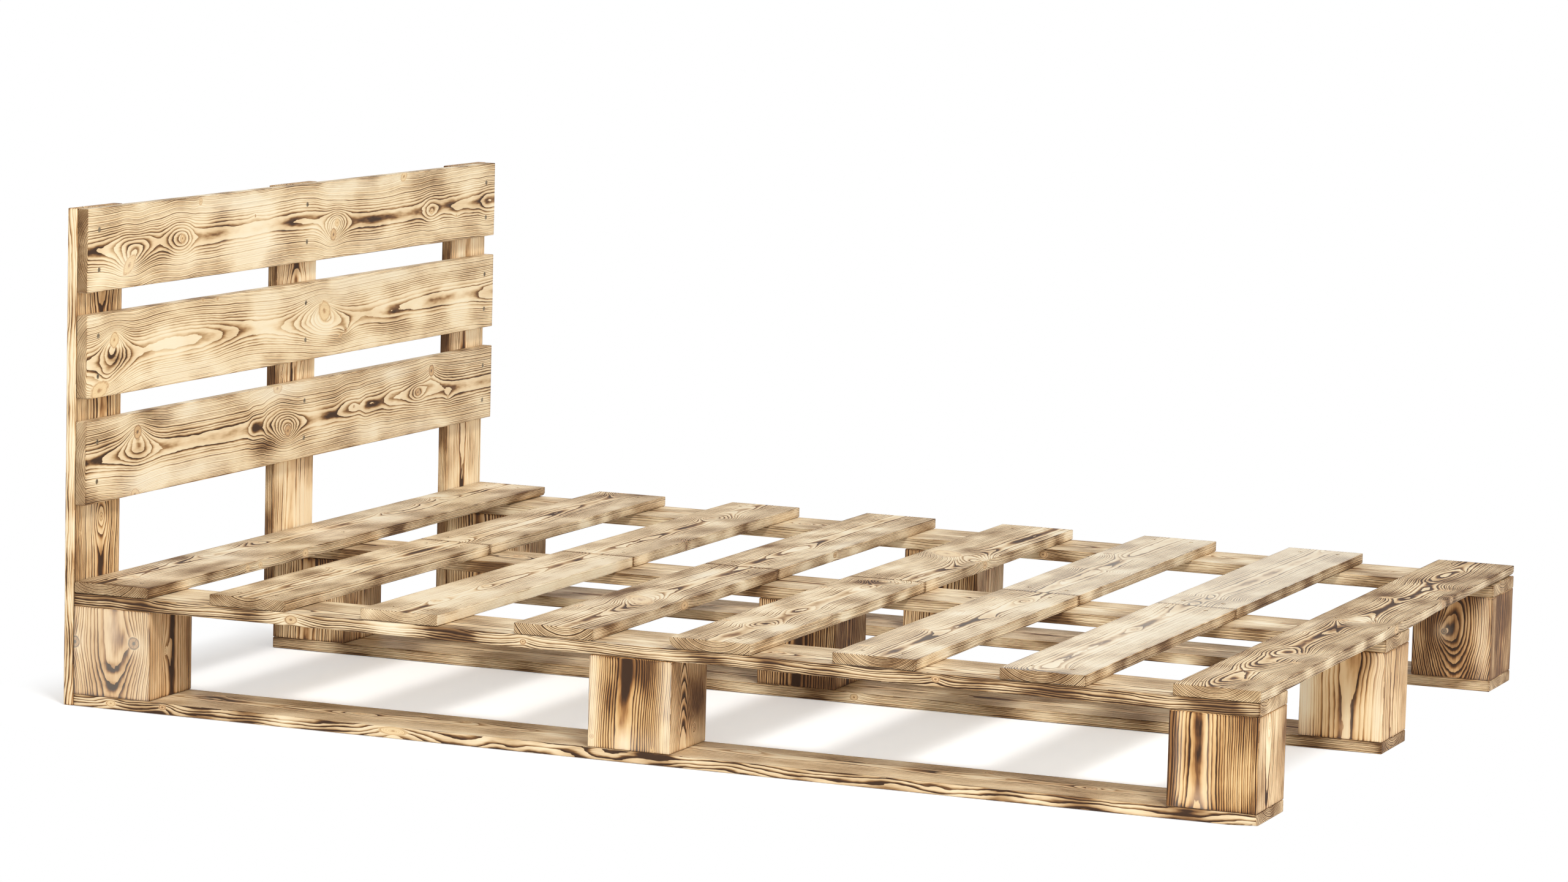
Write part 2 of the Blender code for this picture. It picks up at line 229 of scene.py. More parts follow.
piece(
    "slat_1", seed=11, ring=1.98, depth=60, burn=0.49, side_burn=0.6,
    line=(
        (0, 3.3, 92), (60, 3.06, 92), (150, 3.1, 92), (175, 2.9, 92), (245, 2.6, 94), (262, 2.05, 94),
        (340, 2, 95), (370, 1.6, 92), (480, 1.5, 92), (540, 1.1, 92), (600, 1.1, 85), (640, 1.3, 82),
        (760, 1.25, 80), (835, 1.08, 79), (860, 0.95, 79), (940, 0.6, 76), (1000, 0.3, 74),
        (1060, -0.2, 66), (1120, -0.5, 66), (1200, -0.4, 74), (1300, -0.2, 76), (1400, -0.1, 76),
        (1500, 0, 76),
    ),
    knots=(
        (100, 78, 9, 6, 0, -1.5, 0.1), (365, 108, 7, 6, 0, -1.6, 0.3), (555, 110, 9, 12, 20, -2.5, 0.3),
        (1008, 88, 6, 5, 0, -2, 0.6), (1245, 105, 14, 9, -30, -4, 0.3), (1150, 92, 5, 4, 0, -1.5, 0.35),
    ),
    side_knots=((335, 9, 9, 6, -2, 0.15), (380, 9, 8, 6, -2, 0.15), (540, 9, 12, 7, -2.5, 0.15)),
    burns=(
        (315, 125, 40, 20, 1), (100, 125, 60, 25, 0.35), (520, 100, 40, 25, 0.45), (180, 30, 50, 20, 0.5),
        (310, 33, 40, 14, 0.55), (600, 40, 30, 40, 0.35), (60, 98, 80, 12, 0.4), (310, 95, 50, 14, 0.5),
        (1090, 95, 60, 14, 0.3), (850, 2, 160, 10, 0.3), (1400, 4, 120, 12, 0.6), (3, 60, 12, 60, 0.8),
    ),
    pales=((700, 70, 60, 60, 0.4), (370, 60, 30, 50, 0.5), (950, 45, 60, 30, 0.4), (250, 110, 20, 20, 0.3)),
    wane=(
        (
            -1, -1,
            ((900, 0), (1100, 8), (1300, 12), (1500, 10)),
            ((900, 0), (1100, 6), (1300, 9), (1500, 7)),
        ),
    ),
)
piece(
    "slat_2_near", seed=12, ring=2.06, depth=55, burn=0.49,
    line=(
        (0, 1.35, 69), (30, 1.2, 69), (110, 1.15, 69), (150, 1, 69), (200, 0.75, 69), (280, 0.85, 68),
        (320, 1.02, 66), (350, 1.2, 67), (400, 1.35, 68), (500, 1.25, 67), (540, 1.1, 66), (680, 1.08, 66),
        (735, 1.35, 66), (749, 1.5, 66),
    ),
    knots=((358, 108, 9, 7, 40, -3, 0.45),),
    burns=(
        (70, 67, 60, 9, 0.35), (620, 67, 80, 8, 0.6), (120, 35, 40, 16, 0.45), (335, 32, 50, 18, 0.5),
        (290, 105, 40, 14, 0.35), (530, 30, 30, 10, 0.35), (640, 27, 45, 20, 0.6), (60, 5, 60, 8, 0.4),
        (430, 0, 40, 10, 0.5), (610, 0, 40, 10, 0.6),
    ),
    pales=((200, 60, 40, 30, 0.2), (480, 115, 90, 14, 0.2)),
)
piece(
    "slat_2_far", seed=13, ring=2.24, depth=52, burn=0.47, side_burn=0.45,
    line=(
        (751, 0.6, 60), (830, 0.5, 62), (900, 0.45, 64), (1050, 0.6, 66), (1150, 0.9, 72), (1190, 1.03, 77),
        (1240, 1.5, 78), (1300, 2.02, 78), (1340, 2.3, 78), (1400, 2.2, 78), (1450, 1.9, 78), (1470, 1, 80),
        (1500, -1, 82),
    ),
    knots=((738, 72, 14, 12, 0, -8, 0.3), (1496, 84, 10, 9, 0, -4, 0.7)),
    burns=(
        (780, 40, 40, 20, 0.6), (1170, 76, 30, 8, 0.5), (1290, 80, 25, 6, 0.4), (1000, 80, 120, 6, 0.3),
        (1490, 60, 20, 50, 0.5), (800, 115, 60, 16, 0.25), (1450, 100, 50, 20, 0.3),
        (1350, 48, 100, 6, 0.3),
    ),
    pales=((1000, 66, 100, 8, 0.3), (1300, 20, 60, 10, 0.2)),
)
piece(
    "slat_3_near", seed=14, ring=1.98, depth=58, patch=0.38, burn=0.25, side_burn=-0.2, end_burn=0.2,
    line=(
        (0, 0.9, 58), (30, 1.05, 58), (90, 1.1, 58), (140, 1.4, 62), (240, 1.3, 62), (300, 1.1, 62),
        (330, 1, 64), (380, 0.6, 68), (450, 0.75, 68), (495, 1, 68), (530, 1.6, 68), (570, 2, 68),
        (620, 2.2, 68), (670, 2.08, 67), (695, 1.9, 66), (749, 1.5, 66),
    ),
    knots=(
        (135, 70, 10, 9, 0, -2, 0.06), (320, 72, 10, 7, 10, -2, 0.12), (630, 95, 3, 3, 0, -0.5, 0.6),
        (632, 38, 5, 3, 0, -0.6, 0.4),
    ),
    burns=(
        (25, 118, 60, 14, 0.5), (40, 35, 16, 8, 0.5), (690, 105, 40, 14, 0.5), (340, 60, 60, 6, 0.3),
        (665, 67, 20, 7, 0.7), (70, 58, 35, 8, 0.6), (30, 15, 50, 10, 0.3), (510, 68, 60, 12, 0.25),
    ),
    pales=((450, 30, 160, 30, 0.3), (200, 100, 100, 20, 0.2)),
)
piece(
    "slat_3_far", seed=15, depth=50, burn=0.41, side_burn=0.2,
    line=(
        (751, 1.4, 72), (820, 1.1, 74), (850, 0.95, 74), (900, 0.8, 72), (950, 1.02, 70), (1040, 1.05, 69),
        (1075, 1.3, 70), (1110, 1.1, 72), (1180, 1.05, 68), (1230, 1.3, 72), (1262, 0.6, 74),
        (1280, -0.6, 74), (1300, 0, 74), (1320, 1, 76), (1345, 2, 78), (1385, 2.9, 78), (1430, 3.05, 78),
        (1460, 3.9, 77), (1480, 4.1, 77), (1500, 4.5, 77),
    ),
    knots=((1268, 88, 8, 7, 0, -2.5, 0.5), (978, 5, 7, 6, 0, -2, 0.8), (853, 60, 4, 4, 0, -0.8, 0.4)),
    side_knots=((978, 9, 7, 8, -2.5, 0.8),),
    burns=(
        (930, 20, 60, 18, 0.5), (1100, 25, 50, 22, 0.6), (1165, 75, 50, 12, 0.4), (1035, 70, 14, 6, 0.7),
        (1110, 70, 16, 7, 0.6), (1310, 70, 40, 18, 0.5), (980, 2, 10, 8, 0.9), (870, 110, 60, 10, 0.25),
        (1040, 108, 50, 12, 0.3), (1330, 30, 80, 20, 0.3), (1250, 0, 60, 8, 0.5),
    ),
    pales=((1000, 40, 60, 8, 0.3), (1400, 78, 40, 14, 0.3)),
    wane=((-1, -1, ((960, 0), (975, 5), (985, 5), (1000, 0)), ((960, 0), (975, 9), (985, 9), (1000, 0))),),
)
piece(
    "slat_4_near", seed=16, ring=2.75, depth=46, burn=0.53, side_burn=0.55,
    line=(
        (0, 2.2, 50), (100, 2.1, 50), (180, 1.6, 50), (220, 1.05, 50), (260, 1, 50), (300, 0.5, 56),
        (380, 1.2, 60), (430, 1.15, 58), (500, 1.3, 58), (600, 1.4, 58), (650, 1.05, 56), (700, 0.9, 58),
        (749, 0.6, 60),
    ),
    knots=(
        (320, 63, 50, 21, 33, -3.6, 0.06), (326, 68, 16, 11, 35, -1.2, 0.3),
        (213, 122, 14, 7, 0, -2.5, 0.3),
    ),
    side_knots=((355, 9, 16, 8, -3, 0.4),),
    burns=(
        (415, 118, 60, 16, 0.95), (330, 125, 60, 12, 0.5), (225, 46, 40, 10, 0.5), (60, 44, 50, 10, 0.4),
        (560, 120, 90, 12, 0.35), (700, 58, 60, 20, 0.3), (640, 15, 60, 12, 0.3), (60, 10, 80, 20, 0.3),
        (360, 2, 60, 10, 0.5),
    ),
    pales=((620, 80, 60, 14, 0.9), (250, 115, 50, 14, 0.4), (330, 64, 40, 20, 0.5)),
)
piece(
    "slat_4_far", seed=17, depth=56, burn=0.42,
    line=(
        (751, 1.3, 66), (800, 1.15, 66), (850, 1.05, 66), (880, 0.6, 66), (910, 0, 66), (960, -0.12, 67),
        (1020, -0.05, 67), (1060, 0.6, 67), (1085, 1, 67), (1110, 1.1, 67), (1160, 1.3, 69),
        (1240, 1.5, 70), (1300, 1.35, 72), (1400, 1.4, 71), (1500, 1.5, 71),
    ),
    side_knots=((1007, 11, 9, 6, -2.5, 0.8),),
    burns=(
        (830, 66, 40, 10, 0.45), (1110, 66, 30, 8, 0.45), (950, 92, 60, 20, 0.3), (950, 125, 70, 12, 0.45),
        (1320, 120, 60, 18, 0.4), (1320, 84, 60, 6, 0.4), (1250, 40, 30, 14, 0.45), (1250, 20, 40, 16, 0.4),
        (1430, 25, 40, 14, 0.35), (1450, 58, 60, 6, 0.4), (1280, 57, 160, 5, 0.35),
    ),
    pales=((1080, 15, 70, 14, 0.7), (1000, 67, 60, 14, 0.3), (1150, 75, 60, 10, 0.2)),
)
piece(
    "slat_5_near", seed=18, ring=1.98, depth=58, burn=0.43, side_burn=0.48,
    line=(
        (0, 1.2, 60), (40, 1.12, 60), (60, 0.98, 61), (85, 0.98, 61), (110, 1.12, 60), (150, 1, 62),
        (165, 0, 62), (185, -1, 62), (215, -0.9, 60), (235, 0, 60), (260, 1, 58), (300, 1, 62),
        (330, 0.2, 64), (360, -0.15, 64), (380, 0.1, 62), (410, 0.9, 62), (450, 1, 66), (500, 1.15, 66),
        (570, 1.12, 67), (610, 0.9, 68), (650, 0.5, 66), (680, 1.2, 64), (710, -0.5, 62), (725, -1, 62),
        (749, 1, 62),
    ),
    knots=(
        (197, 47, 8, 6, 60, -1.5, 0.3), (383, 115, 8, 5, 30, -1.2, 0.4), (610, 125, 9, 6, 60, -1.5, 0.3),
        (200, 125, 10, 6, 50, -1.2, 0.3), (345, 6, 5, 5, 0, -1.5, 0.6), (645, 66, 6, 5, 0, -1, 0.35),
        (723, 62, 8, 6, 0, -2, 0.25), (733, 94, 8, 7, 0, -2, 0.5), (714, 34, 7, 6, 0, -1.5, 0.5),
        (738, 8, 6, 5, 0, -1.5, 0.6),
    ),
    side_knots=((365, 3, 4, 3, -0.8, 0.7),),
    burns=(
        (700, 62, 24, 26, 0.8), (205, 62, 22, 10, 0.5), (545, 66, 50, 9, 0.4), (60, 60, 60, 8, 0.3),
        (700, 20, 40, 20, 0.35), (690, 100, 30, 20, 0.35), (110, 118, 60, 12, 0.3), (340, 62, 60, 12, 0.2),
    ),
    pales=((150, 20, 60, 14, 0.3), (430, 55, 50, 10, 0.3)),
    wane=((1, -1, ((0, 15), (200, 14), (500, 15), (749, 15)), ((0, 15), (200, 14), (500, 15), (749, 15))),),
)
piece(
    "slat_5_far", seed=19, ring=2.24, depth=55, burn=0.47, side_burn=0.6,
    line=(
        (751, 1.3, 30), (800, 1, 32), (830, 0.9, 32), (885, 1.05, 30), (930, 1.05, 22), (1000, 1.02, 20),
        (1040, 1.1, 24), (1090, 0.2, 34), (1125, 1, 34), (1160, 1.15, 32), (1250, 1.2, 32), (1280, 1, 32),
        (1350, 1.1, 30), (1500, 1.05, 30),
    ),
    knots=((1088, 88, 44, 24, 40, -6.5, 0.06), (1030, 8, 10, 7, 0, -3, 0.35)),
    side_knots=((1040, 10, 12, 7, -3, 0.5),),
    burns=(
        (1150, 75, 40, 25, 0.6), (1150, 30, 40, 8, 0.5), (1420, 28, 80, 10, 0.7), (960, 18, 60, 8, 0.4),
        (1380, 68, 140, 6, 0.35), (1380, 110, 80, 14, 0.25), (1300, 128, 80, 8, 0.3), (800, 85, 60, 8, 0.2),
    ),
    pales=((860, 40, 60, 14, 0.2), (1088, 88, 40, 26, 0.3)),
)
# Slat 6: its wash is mostly a painted sheen of grazing light on its top
piece(
    "slat_6_near", seed=20, depth=56, patch=0.4, burn=0.37, side_burn=0.45, wash=0.1,
    line=(
        (0, 1.3, 58), (40, 1.12, 58), (110, 1.2, 58), (140, 1.1, 58), (250, 1.03, 58), (275, 0.95, 58),
        (340, 0.97, 58), (360, 1.1, 58), (415, 1.05, 56), (440, 0.9, 56), (520, 0.6, 58), (640, 0.2, 58),
        (665, 0.6, 58), (749, 0.9, 56),
    ),
    knots=(
        (278, 90, 9, 7, 50, -1.8, 0.3), (85, 117, 7, 10, 0, -1.5, 0.12), (490, 110, 6, 9, 60, -1.5, 0.3),
        (650, 115, 5, 9, 80, -1.5, 0.4), (645, 55, 9, 7, 0, -2, 0.12), (456, 42, 4, 4, 0, -1, 0.4),
    ),
    burns=(
        (150, 58, 60, 7, 0.4), (255, 60, 20, 6, 0.6), (380, 58, 50, 7, 0.45), (60, 40, 80, 20, 0.15),
        (290, 15, 40, 20, 0.3), (705, 105, 30, 20, 0.4), (500, 20, 60, 16, 0.25), (130, 128, 30, 8, 0.4),
        (320, 100, 30, 8, 0.2),
    ),
    pales=((600, 30, 120, 20, 0.3), (470, 100, 60, 20, 0.3)),
)
piece(
    "slat_6_far", seed=21, depth=54, patch=0.4, burn=0.37, side_burn=0.55, wash=0.24,
    line=(
        (751, 1.6, 66), (830, 1.1, 66), (850, 0.95, 66), (950, 0.7, 66), (1030, 0.5, 66), (1045, 1.05, 68),
        (1060, 0.85, 66), (1090, 0.85, 66), (1110, 1.1, 66), (1170, 1.05, 68), (1195, 0.95, 70),
        (1215, 0, 70), (1230, -0.8, 70), (1270, -1.3, 72), (1350, -1.5, 74), (1500, -1.8, 72),
    ),
    knots=((1060, 110, 10, 9, 0, -3, 0.7), (1245, 118, 10, 8, 0, -3, 0.8), (890, 75, 6, 3, 0, -0.8, 0.6)),
    burns=(
        (900, 95, 130, 16, 0.6), (1030, 90, 30, 22, 0.55), (1130, 70, 50, 8, 0.5),
        (1110, 115, 40, 14, 0.45), (800, 70, 40, 8, 0.3), (1200, 112, 40, 8, 0.55),
        (1230, 68, 30, 12, 0.35),
    ),
)
# Slat 7: its wash is mostly a painted sheen of grazing light on its top
piece(
    "slat_7_near", seed=22, depth=60, patch=0.38, burn=0.31, side_burn=0.92, end_burn=0.65, wash=0.22,
    line=(
        (0, 2.6, 77), (15, 1.6, 77), (35, 1, 77), (60, 0.75, 77), (120, 0.9, 77), (150, 1.01, 77),
        (180, 0.92, 77), (310, 0.95, 77), (335, 1.05, 77), (440, 1.12, 77), (455, 0.9, 77), (470, 1.08, 77),
        (580, 1.1, 77), (610, 0.98, 77), (680, 0.6, 80), (749, 0.1, 84),
    ),
    knots=((43, 46, 7, 6, 0, -2, 0.5), (458, 76, 8, 4, 0, -1, 0.2), (330, 18, 16, 3, 0, -0.8, 0.5)),
    burns=((2, 80, 14, 60, 0.9), (30, 120, 40, 14, 0.5), (460, 77, 110, 8, 0.35), (330, 17, 20, 4, 0.4)),
    pales=((200, 77, 100, 12, 0.2), (520, 40, 250, 40, 0.25)),
)
piece(
    "slat_7_far", seed=23, ring=2.24, depth=60, patch=0.38, burn=0.37, side_burn=0.95, wash=0.34,
    line=(
        (751, 0.4, 76), (790, 1.2, 76), (830, 0.9, 74), (850, 1.6, 74), (880, 1.3, 78), (950, 1.2, 72),
        (1100, 1.1, 70), (1300, 1.3, 68), (1500, 1.4, 66),
    ),
    knots=(
        (778, 78, 7, 5, 0, -2, 0.4), (795, 105, 5, 4, 0, -1, 0.5), (852, 76, 7, 5, 20, -2, 0.4),
        (875, 84, 6, 3, 30, -1, 0.5), (1040, 122, 5, 4, 0, -1, 0.5), (1050, 36, 4, 3, 0, -0.8, 0.5),
        (1497, 60, 6, 8, 0, -2, 0.5),
    ),
    burns=(
        (780, 78, 20, 14, 0.5), (860, 80, 30, 10, 0.4), (800, 45, 80, 8, 0.3), (920, 0, 90, 10, 0.4),
        (1100, 55, 120, 8, 0.15),
    ),
)
piece(
    "slat_8", seed=24, ring=2.06, depth=52, lines=1.33, patch=0.5, warm=0.35, burn=0.72, side_burn=0.62,
    line=(
        (0, 5.5, 74), (15, 5, 75), (38, 4, 75), (65, 3, 75), (95, 2.6, 74), (150, 2.9, 74), (172, 3, 75),
        (195, 2, 75), (218, 1, 75), (245, 0, 75), (290, -0.4, 76), (325, -1, 76), (345, -2, 76),
        (375, -2.5, 76), (405, -2, 76), (430, -1, 76), (480, -0.75, 76), (540, -0.85, 74), (600, -0.95, 73),
        (690, -0.92, 72), (720, -1.1, 68), (760, -1.5, 66), (800, -1.3, 64), (850, -0.97, 64),
        (1000, -0.95, 60), (1060, -0.92, 60), (1180, -1.5, 68), (1215, -2, 72), (1235, -3, 73),
        (1310, -4.2, 73), (1385, -3.2, 73), (1500, -2.2, 76),
    ),
    knots=(
        (90, 52, 9, 7, 20, -1.5, 0.2), (270, 62, 5, 4, 0, -0.8, 0.5), (282, 32, 8, 7, 0, -2, 0.3),
        (368, 47, 6, 9, 60, -2, 0.6), (585, 108, 5, 5, 0, -1.5, 0.5), (598, 60, 5, 5, 0, -1, 0.5),
        (730, 86, 11, 11, 0, -4, 0.5), (728, 40, 9, 11, 60, -4, 0.55), (862, 113, 5, 5, 0, -1, 0.6),
        (1010, 92, 9, 13, 0, -3, 0.15), (1142, 28, 12, 13, 0, -4, 0.6), (1025, 4, 6, 6, 0, -2, 0.7),
        (1372, 60, 5, 4, 0, -1, 0.4),
    ),
    side_knots=((740, 8, 12, 7, -3, 0.4), (1035, 9, 8, 6, -2, 0.8), (1080, 12, 10, 6, -2, 0.8)),
    burns=(
        (60, 74, 30, 14, 0.5), (230, 72, 40, 14, 0.5), (640, 72, 60, 9, 0.6), (930, 62, 110, 9, 0.5),
        (1080, 6, 40, 14, 1.2), (1060, 100, 60, 18, 0.65), (1180, 110, 60, 10, 0.3),
        (700, 100, 80, 30, 0.2), (1470, 70, 40, 60, 0.5), (50, 40, 60, 8, 0.4), (1330, 45, 120, 14, 0.3),
        (980, 30, 80, 14, 0.3),
    ),
    pales=(
        (640, 118, 120, 12, 0.4), (120, 110, 60, 10, 0.3), (740, 60, 40, 20, 0.4), (330, 45, 30, 30, 0.2),
    ),
    wane=(
        (
            -1, -1,
            ((850, 0), (1000, 10), (1250, 12), (1500, 9)),
            ((850, 0), (1000, 8), (1250, 10), (1500, 8)),
        ),
    ),
)
piece(
    "rail_near", seed=31, side_ring=3.7, depth=60, sway=7, bars=0.8, burn=0.55, side_burn=0.8,
    line=(
        (0, 1.2, 30), (250, 1.8, 34), (395, 2.2, 36), (600, 1.4, 40), (803, 1.9, 40), (1000, 2.6, 46),
        (1200, 1.5, 40), (1450, 1.9, 44), (1650, 1, 36), (1850, 1.7, 34), (2000, 1.4, 30),
    ),
    knots=((260, 80, 12, 9, 0, -3, 0.4), (1210, 60, 10, 8, 0, -3, 0.4), (1700, 95, 9, 9, 0, -3, 0.5)),
    side_knots=((395, 10, 13, 8, -3.5, 0.5), (803, 10, 6, 5, -2, 0.6), (1490, 12, 7, 5, -2, 0.5)),
    burns=(
        (280, 0, 60, 30, 0.35), (660, 0, 30, 30, 0.4), (1165, 0, 50, 30, 0.4), (1660, 0, 50, 30, 0.35),
        (1820, 0, 40, 30, 0.35), (40, 0, 70, 30, 0.35), (960, 0, 70, 12, 0.2), (500, 90, 120, 30, 0.3),
        (1560, 0, 330, 9, 0.2), (1455, 0, 30, 9, 0.4), (1950, 0, 60, 9, 0.4),
    ),
    pales=(
        (395, 0, 50, 30, 0.3), (540, 0, 60, 30, 0.35), (820, 0, 60, 30, 0.3), (1350, 0, 80, 30, 0.3),
        (980, 0, 90, 9, 0.5),
    ),
    wane=(
        (
            -1, -1,
            ((850, 0), (960, 7), (1050, 3), (1120, 8), (1250, 0)),
            ((850, 0), (960, 7), (1050, 3), (1120, 8), (1250, 0)),
        ),
    ),
)
piece(
    "rail_middle", seed=32, burn=0.6, side_burn=0.75,
    line=((0, 1.2, 70), (500, 0.4, 66), (1000, 1.1, 72), (1500, 0.3, 70), (2000, 1, 68)),
    knots=((430, 90, 12, 9, 0, -3, 0.4), (1300, 50, 11, 8, 0, -3, 0.5)),
    burns=((300, 70, 80, 40, 0.3), (900, 70, 90, 40, 0.35), (1600, 70, 90, 40, 0.3)),
)
piece(
    "rail_far", seed=33, bars=1.3, burn=0.55, side_burn=0.65,
    line=((0, 0.8, 74), (500, 1.2, 70), (1000, 0.5, 66), (1500, 1.2, 72), (2000, 0.6, 70)),
    knots=((700, 60, 10, 8, 0, -3, 0.4), (1450, 90, 11, 9, 0, -3, 0.5)),
    side_knots=((1180, 10, 9, 7, -2.5, 0.6),),
    burns=((400, 70, 80, 40, 0.3), (1100, 70, 90, 40, 0.3), (1750, 70, 90, 40, 0.3)),
)
piece(
    "runner_near", seed=34, side_ring=7, sway=8, bars=1.15, burn=0.58, side_burn=0.82,
    line=(
        (0, 1.6, 80), (300, 1.1, 76), (580, 0.2, 80), (800, 1, 84), (985, 1.9, 86), (1200, 1.1, 80),
        (1330, 1.8, 84), (1500, 0.8, 78), (1700, 1.6, 82), (2000, 0.7, 76),
    ),
    knots=(
        (210, 110, 12, 8, 0, -3, 0.1), (480, 80, 12, 8, 0, -3, 0.12), (580, 110, 10, 7, 0, -2, 0.1),
        (660, 100, 9, 7, 0, -2, 0.12), (1150, 110, 11, 7, 0, -3, 0.15), (1540, 115, 8, 7, 0, -2, 0.6),
        (1720, 75, 9, 8, 0, -2.5, 0.6),
    ),
    side_knots=((165, 12, 7, 5, -2, 0.6), (70, 10, 10, 6, -2, 0.15), (580, 12, 26, 7, -3, 0.08)),
    burns=(
        (1770, 45, 70, 30, 0.4), (190, 0, 60, 16, 0.35), (1560, 0, 90, 14, 0.3), (330, 60, 120, 40, 0.2),
    ),
    pales=((100, 0, 60, 20, 0.3), (650, 0, 100, 16, 0.3), (1120, 0, 120, 16, 0.25)),
    wane=((-1, -1, ((1960, 0), (1985, 10), (2000, 16)), ((1960, 0), (1985, 8), (2000, 14))),),
)
piece(
    "runner_middle", seed=35,
    line=((0, 1, 70), (500, 1.5, 72), (1093, 0.6, 70), (1500, 1.4, 68), (2000, 0.8, 70)),
    side_knots=((1093, 11, 8, 6, -2.5, 0.5),),
)
piece(
    "runner_far", seed=36,
    line=((0, 0.6, 70), (700, 1.4, 66), (1400, 0.7, 72), (2000, 1.3, 70)),
)
piece(
    "block_near_head", seed=41, ring=2.5, depth=75, lines=0.56, wander=0.4, patch=0.25, warm=0.1, burn=0.75,
    side_burn=0.84, wash=0.1,
    line=(
        (0, 2.5, 72), (14, 2.2, 72), (22, 2.02, 72), (27, 1.8, 72), (44, 1.25, 72), (54, 1.02, 72),
        (60, 0.8, 72), (90, 0.5, 72), (145, 0.25, 72), (200, 0.1, 75), (345, 0.15, 75),
    ),
    knots=((92, 111, 12, 11, 0, -2.6, 1.15), (86, 2, 11, 10, 0, -2.6, 1.15), (275, 52, 6, 5, 0, -1.5, 0.2)),
    burns=(
        (50, 72, 9, 14, 0.8), (20, 72, 8, 14, 0.7), (72, 48, 50, 8, 0.3), (72, 98, 50, 8, 0.3),
        (60, 30, 60, 12, 0.2), (72, 4, 90, 3, 0.5), (270, 75, 90, 10, 0.6), (270, 128, 90, 8, 0.5),
    ),
    pales=((110, 72, 40, 14, 0.5), (30, 125, 60, 14, 0.2), (92, 111, 20, 20, 0.35), (86, 4, 20, 16, 0.35)),
)
piece(
    "block_near_middle", seed=42, depth=34, lines=0.85, wander=0.3, patch=0.4, warm=1, burn=0.86,
    side_burn=1,
    line=(
        (0, 0.12, 60), (60, 0.06, 61), (145, 0.05, 64), (200, 0.2, 50), (230, 0.9, 50), (250, 1.6, 50),
        (275, 2.7, 50), (305, 3.9, 50), (345, 5.4, 50),
    ),
    knots=((17, 7, 4, 4, 0, -0.8, 0.4), (3, 111, 4, 4, 0, -0.8, 0.4), (228, 94, 8, 8, 0, -3, 0.8)),
    burns=(
        (130, 62, 30, 14, 0.85), (85, 62, 30, 12, 0.4), (135, 90, 30, 26, 0.3), (72, 38, 70, 10, 0.2),
        (285, 112, 35, 18, 0.5), (72, 94, 70, 8, 0.25), (20, 134, 12, 4, 0.5), (60, 130, 14, 4, 0.4),
    ),
    pales=(
        (6, 61, 24, 14, 1), (72, 6, 120, 10, 0.9), (72, 134, 120, 12, 0.9), (10, 100, 20, 30, 0.3),
        (208, 72, 18, 90, 0.8),
    ),
)
piece(
    "block_near_foot", seed=43, lines=0.78, wander=0.3, patch=0.4, warm=1, burn=0.92, side_burn=0.6,
    line=(
        (0, -0.25, 48), (15, -0.08, 48), (25, 0.08, 48), (60, 0.26, 48), (145, 0.32, 48), (200, 1.35, 50),
        (212, 1.15, 50), (222, 1.02, 50), (230, 0.9, 50), (260, 0.6, 50), (345, 0.2, 50),
    ),
    knots=((325, 52, 6, 5, 0, -1, 0.1),),
    burns=(
        (80, 8, 90, 5, 2.2), (134, 47, 20, 12, 0.7), (85, 47, 34, 10, 0.35), (104, 116, 40, 4, 0.6),
        (72, 102, 70, 4, 0.3), (72, 134, 90, 4, 0.5), (60, 80, 60, 8, 0.4), (2, 20, 6, 12, 0.6),
        (213, 50, 16, 9, 0.9), (290, 77, 34, 4, 0.9), (310, 130, 40, 14, 0.6), (222, 130, 16, 8, 0.5),
        (250, 30, 40, 4, 0.5), (300, 100, 40, 5, 0.4),
    ),
    pales=((72, 17, 110, 4, 0.6), (72, 61, 110, 4, 0.6), (14, 48, 20, 16, 0.5), (300, 50, 60, 14, 0.4)),
)
piece(
    "block_middle_head", seed=44, burn=1, side_burn=0.9,
    line=((0, 0.3, 66), (145, 0.4, 70), (200, 0.3, 60), (345, 0.4, 64)),
)
piece(
    "block_middle_middle", seed=45, ring=2.8, depth=40, burn=1.25, side_burn=1.1,
    line=((0, 0.1, 70), (145, 0.2, 72), (200, 0.3, 60), (345, 0.4, 64)),
    burns=((70, 90, 80, 14, 0.5),),
)
piece(
    "block_middle_foot", seed=46, depth=70, lines=0.56, wander=0.3, patch=0.3, warm=0.4, burn=0.66,
    side_burn=0.68,
    line=(
        (0, 0.86, 80), (40, 0.82, 80), (62, 0.72, 80), (95, 0.45, 80), (145, 0.15, 80), (200, 0.9, 50),
        (345, 0.6, 50),
    ),
    burns=(
        (30, 90, 40, 5, 0.8), (40, 68, 60, 5, 0.45), (90, 62, 60, 5, 0.4), (100, 98, 50, 6, 0.5),
        (72, 34, 90, 10, 0.3), (270, 50, 60, 8, 0.3),
    ),
    pales=((72, 8, 110, 14, 0.8), (72, 132, 110, 12, 0.6), (20, 80, 50, 8, 0.5)),
)
piece(
    "block_far_head", seed=47, burn=0.85, side_burn=0.8,
    line=((0, 0.3, 70), (145, 0.2, 66), (200, 0.3, 60), (345, 0.4, 64)),
)
piece(
    "block_far_middle", seed=48, depth=42, burn=0.9, side_burn=0.8,
    line=((0, 0.15, 66), (145, 0.1, 70), (200, 0.3, 60), (345, 0.4, 64)),
    burns=((72, 60, 90, 10, 0.5),),
)
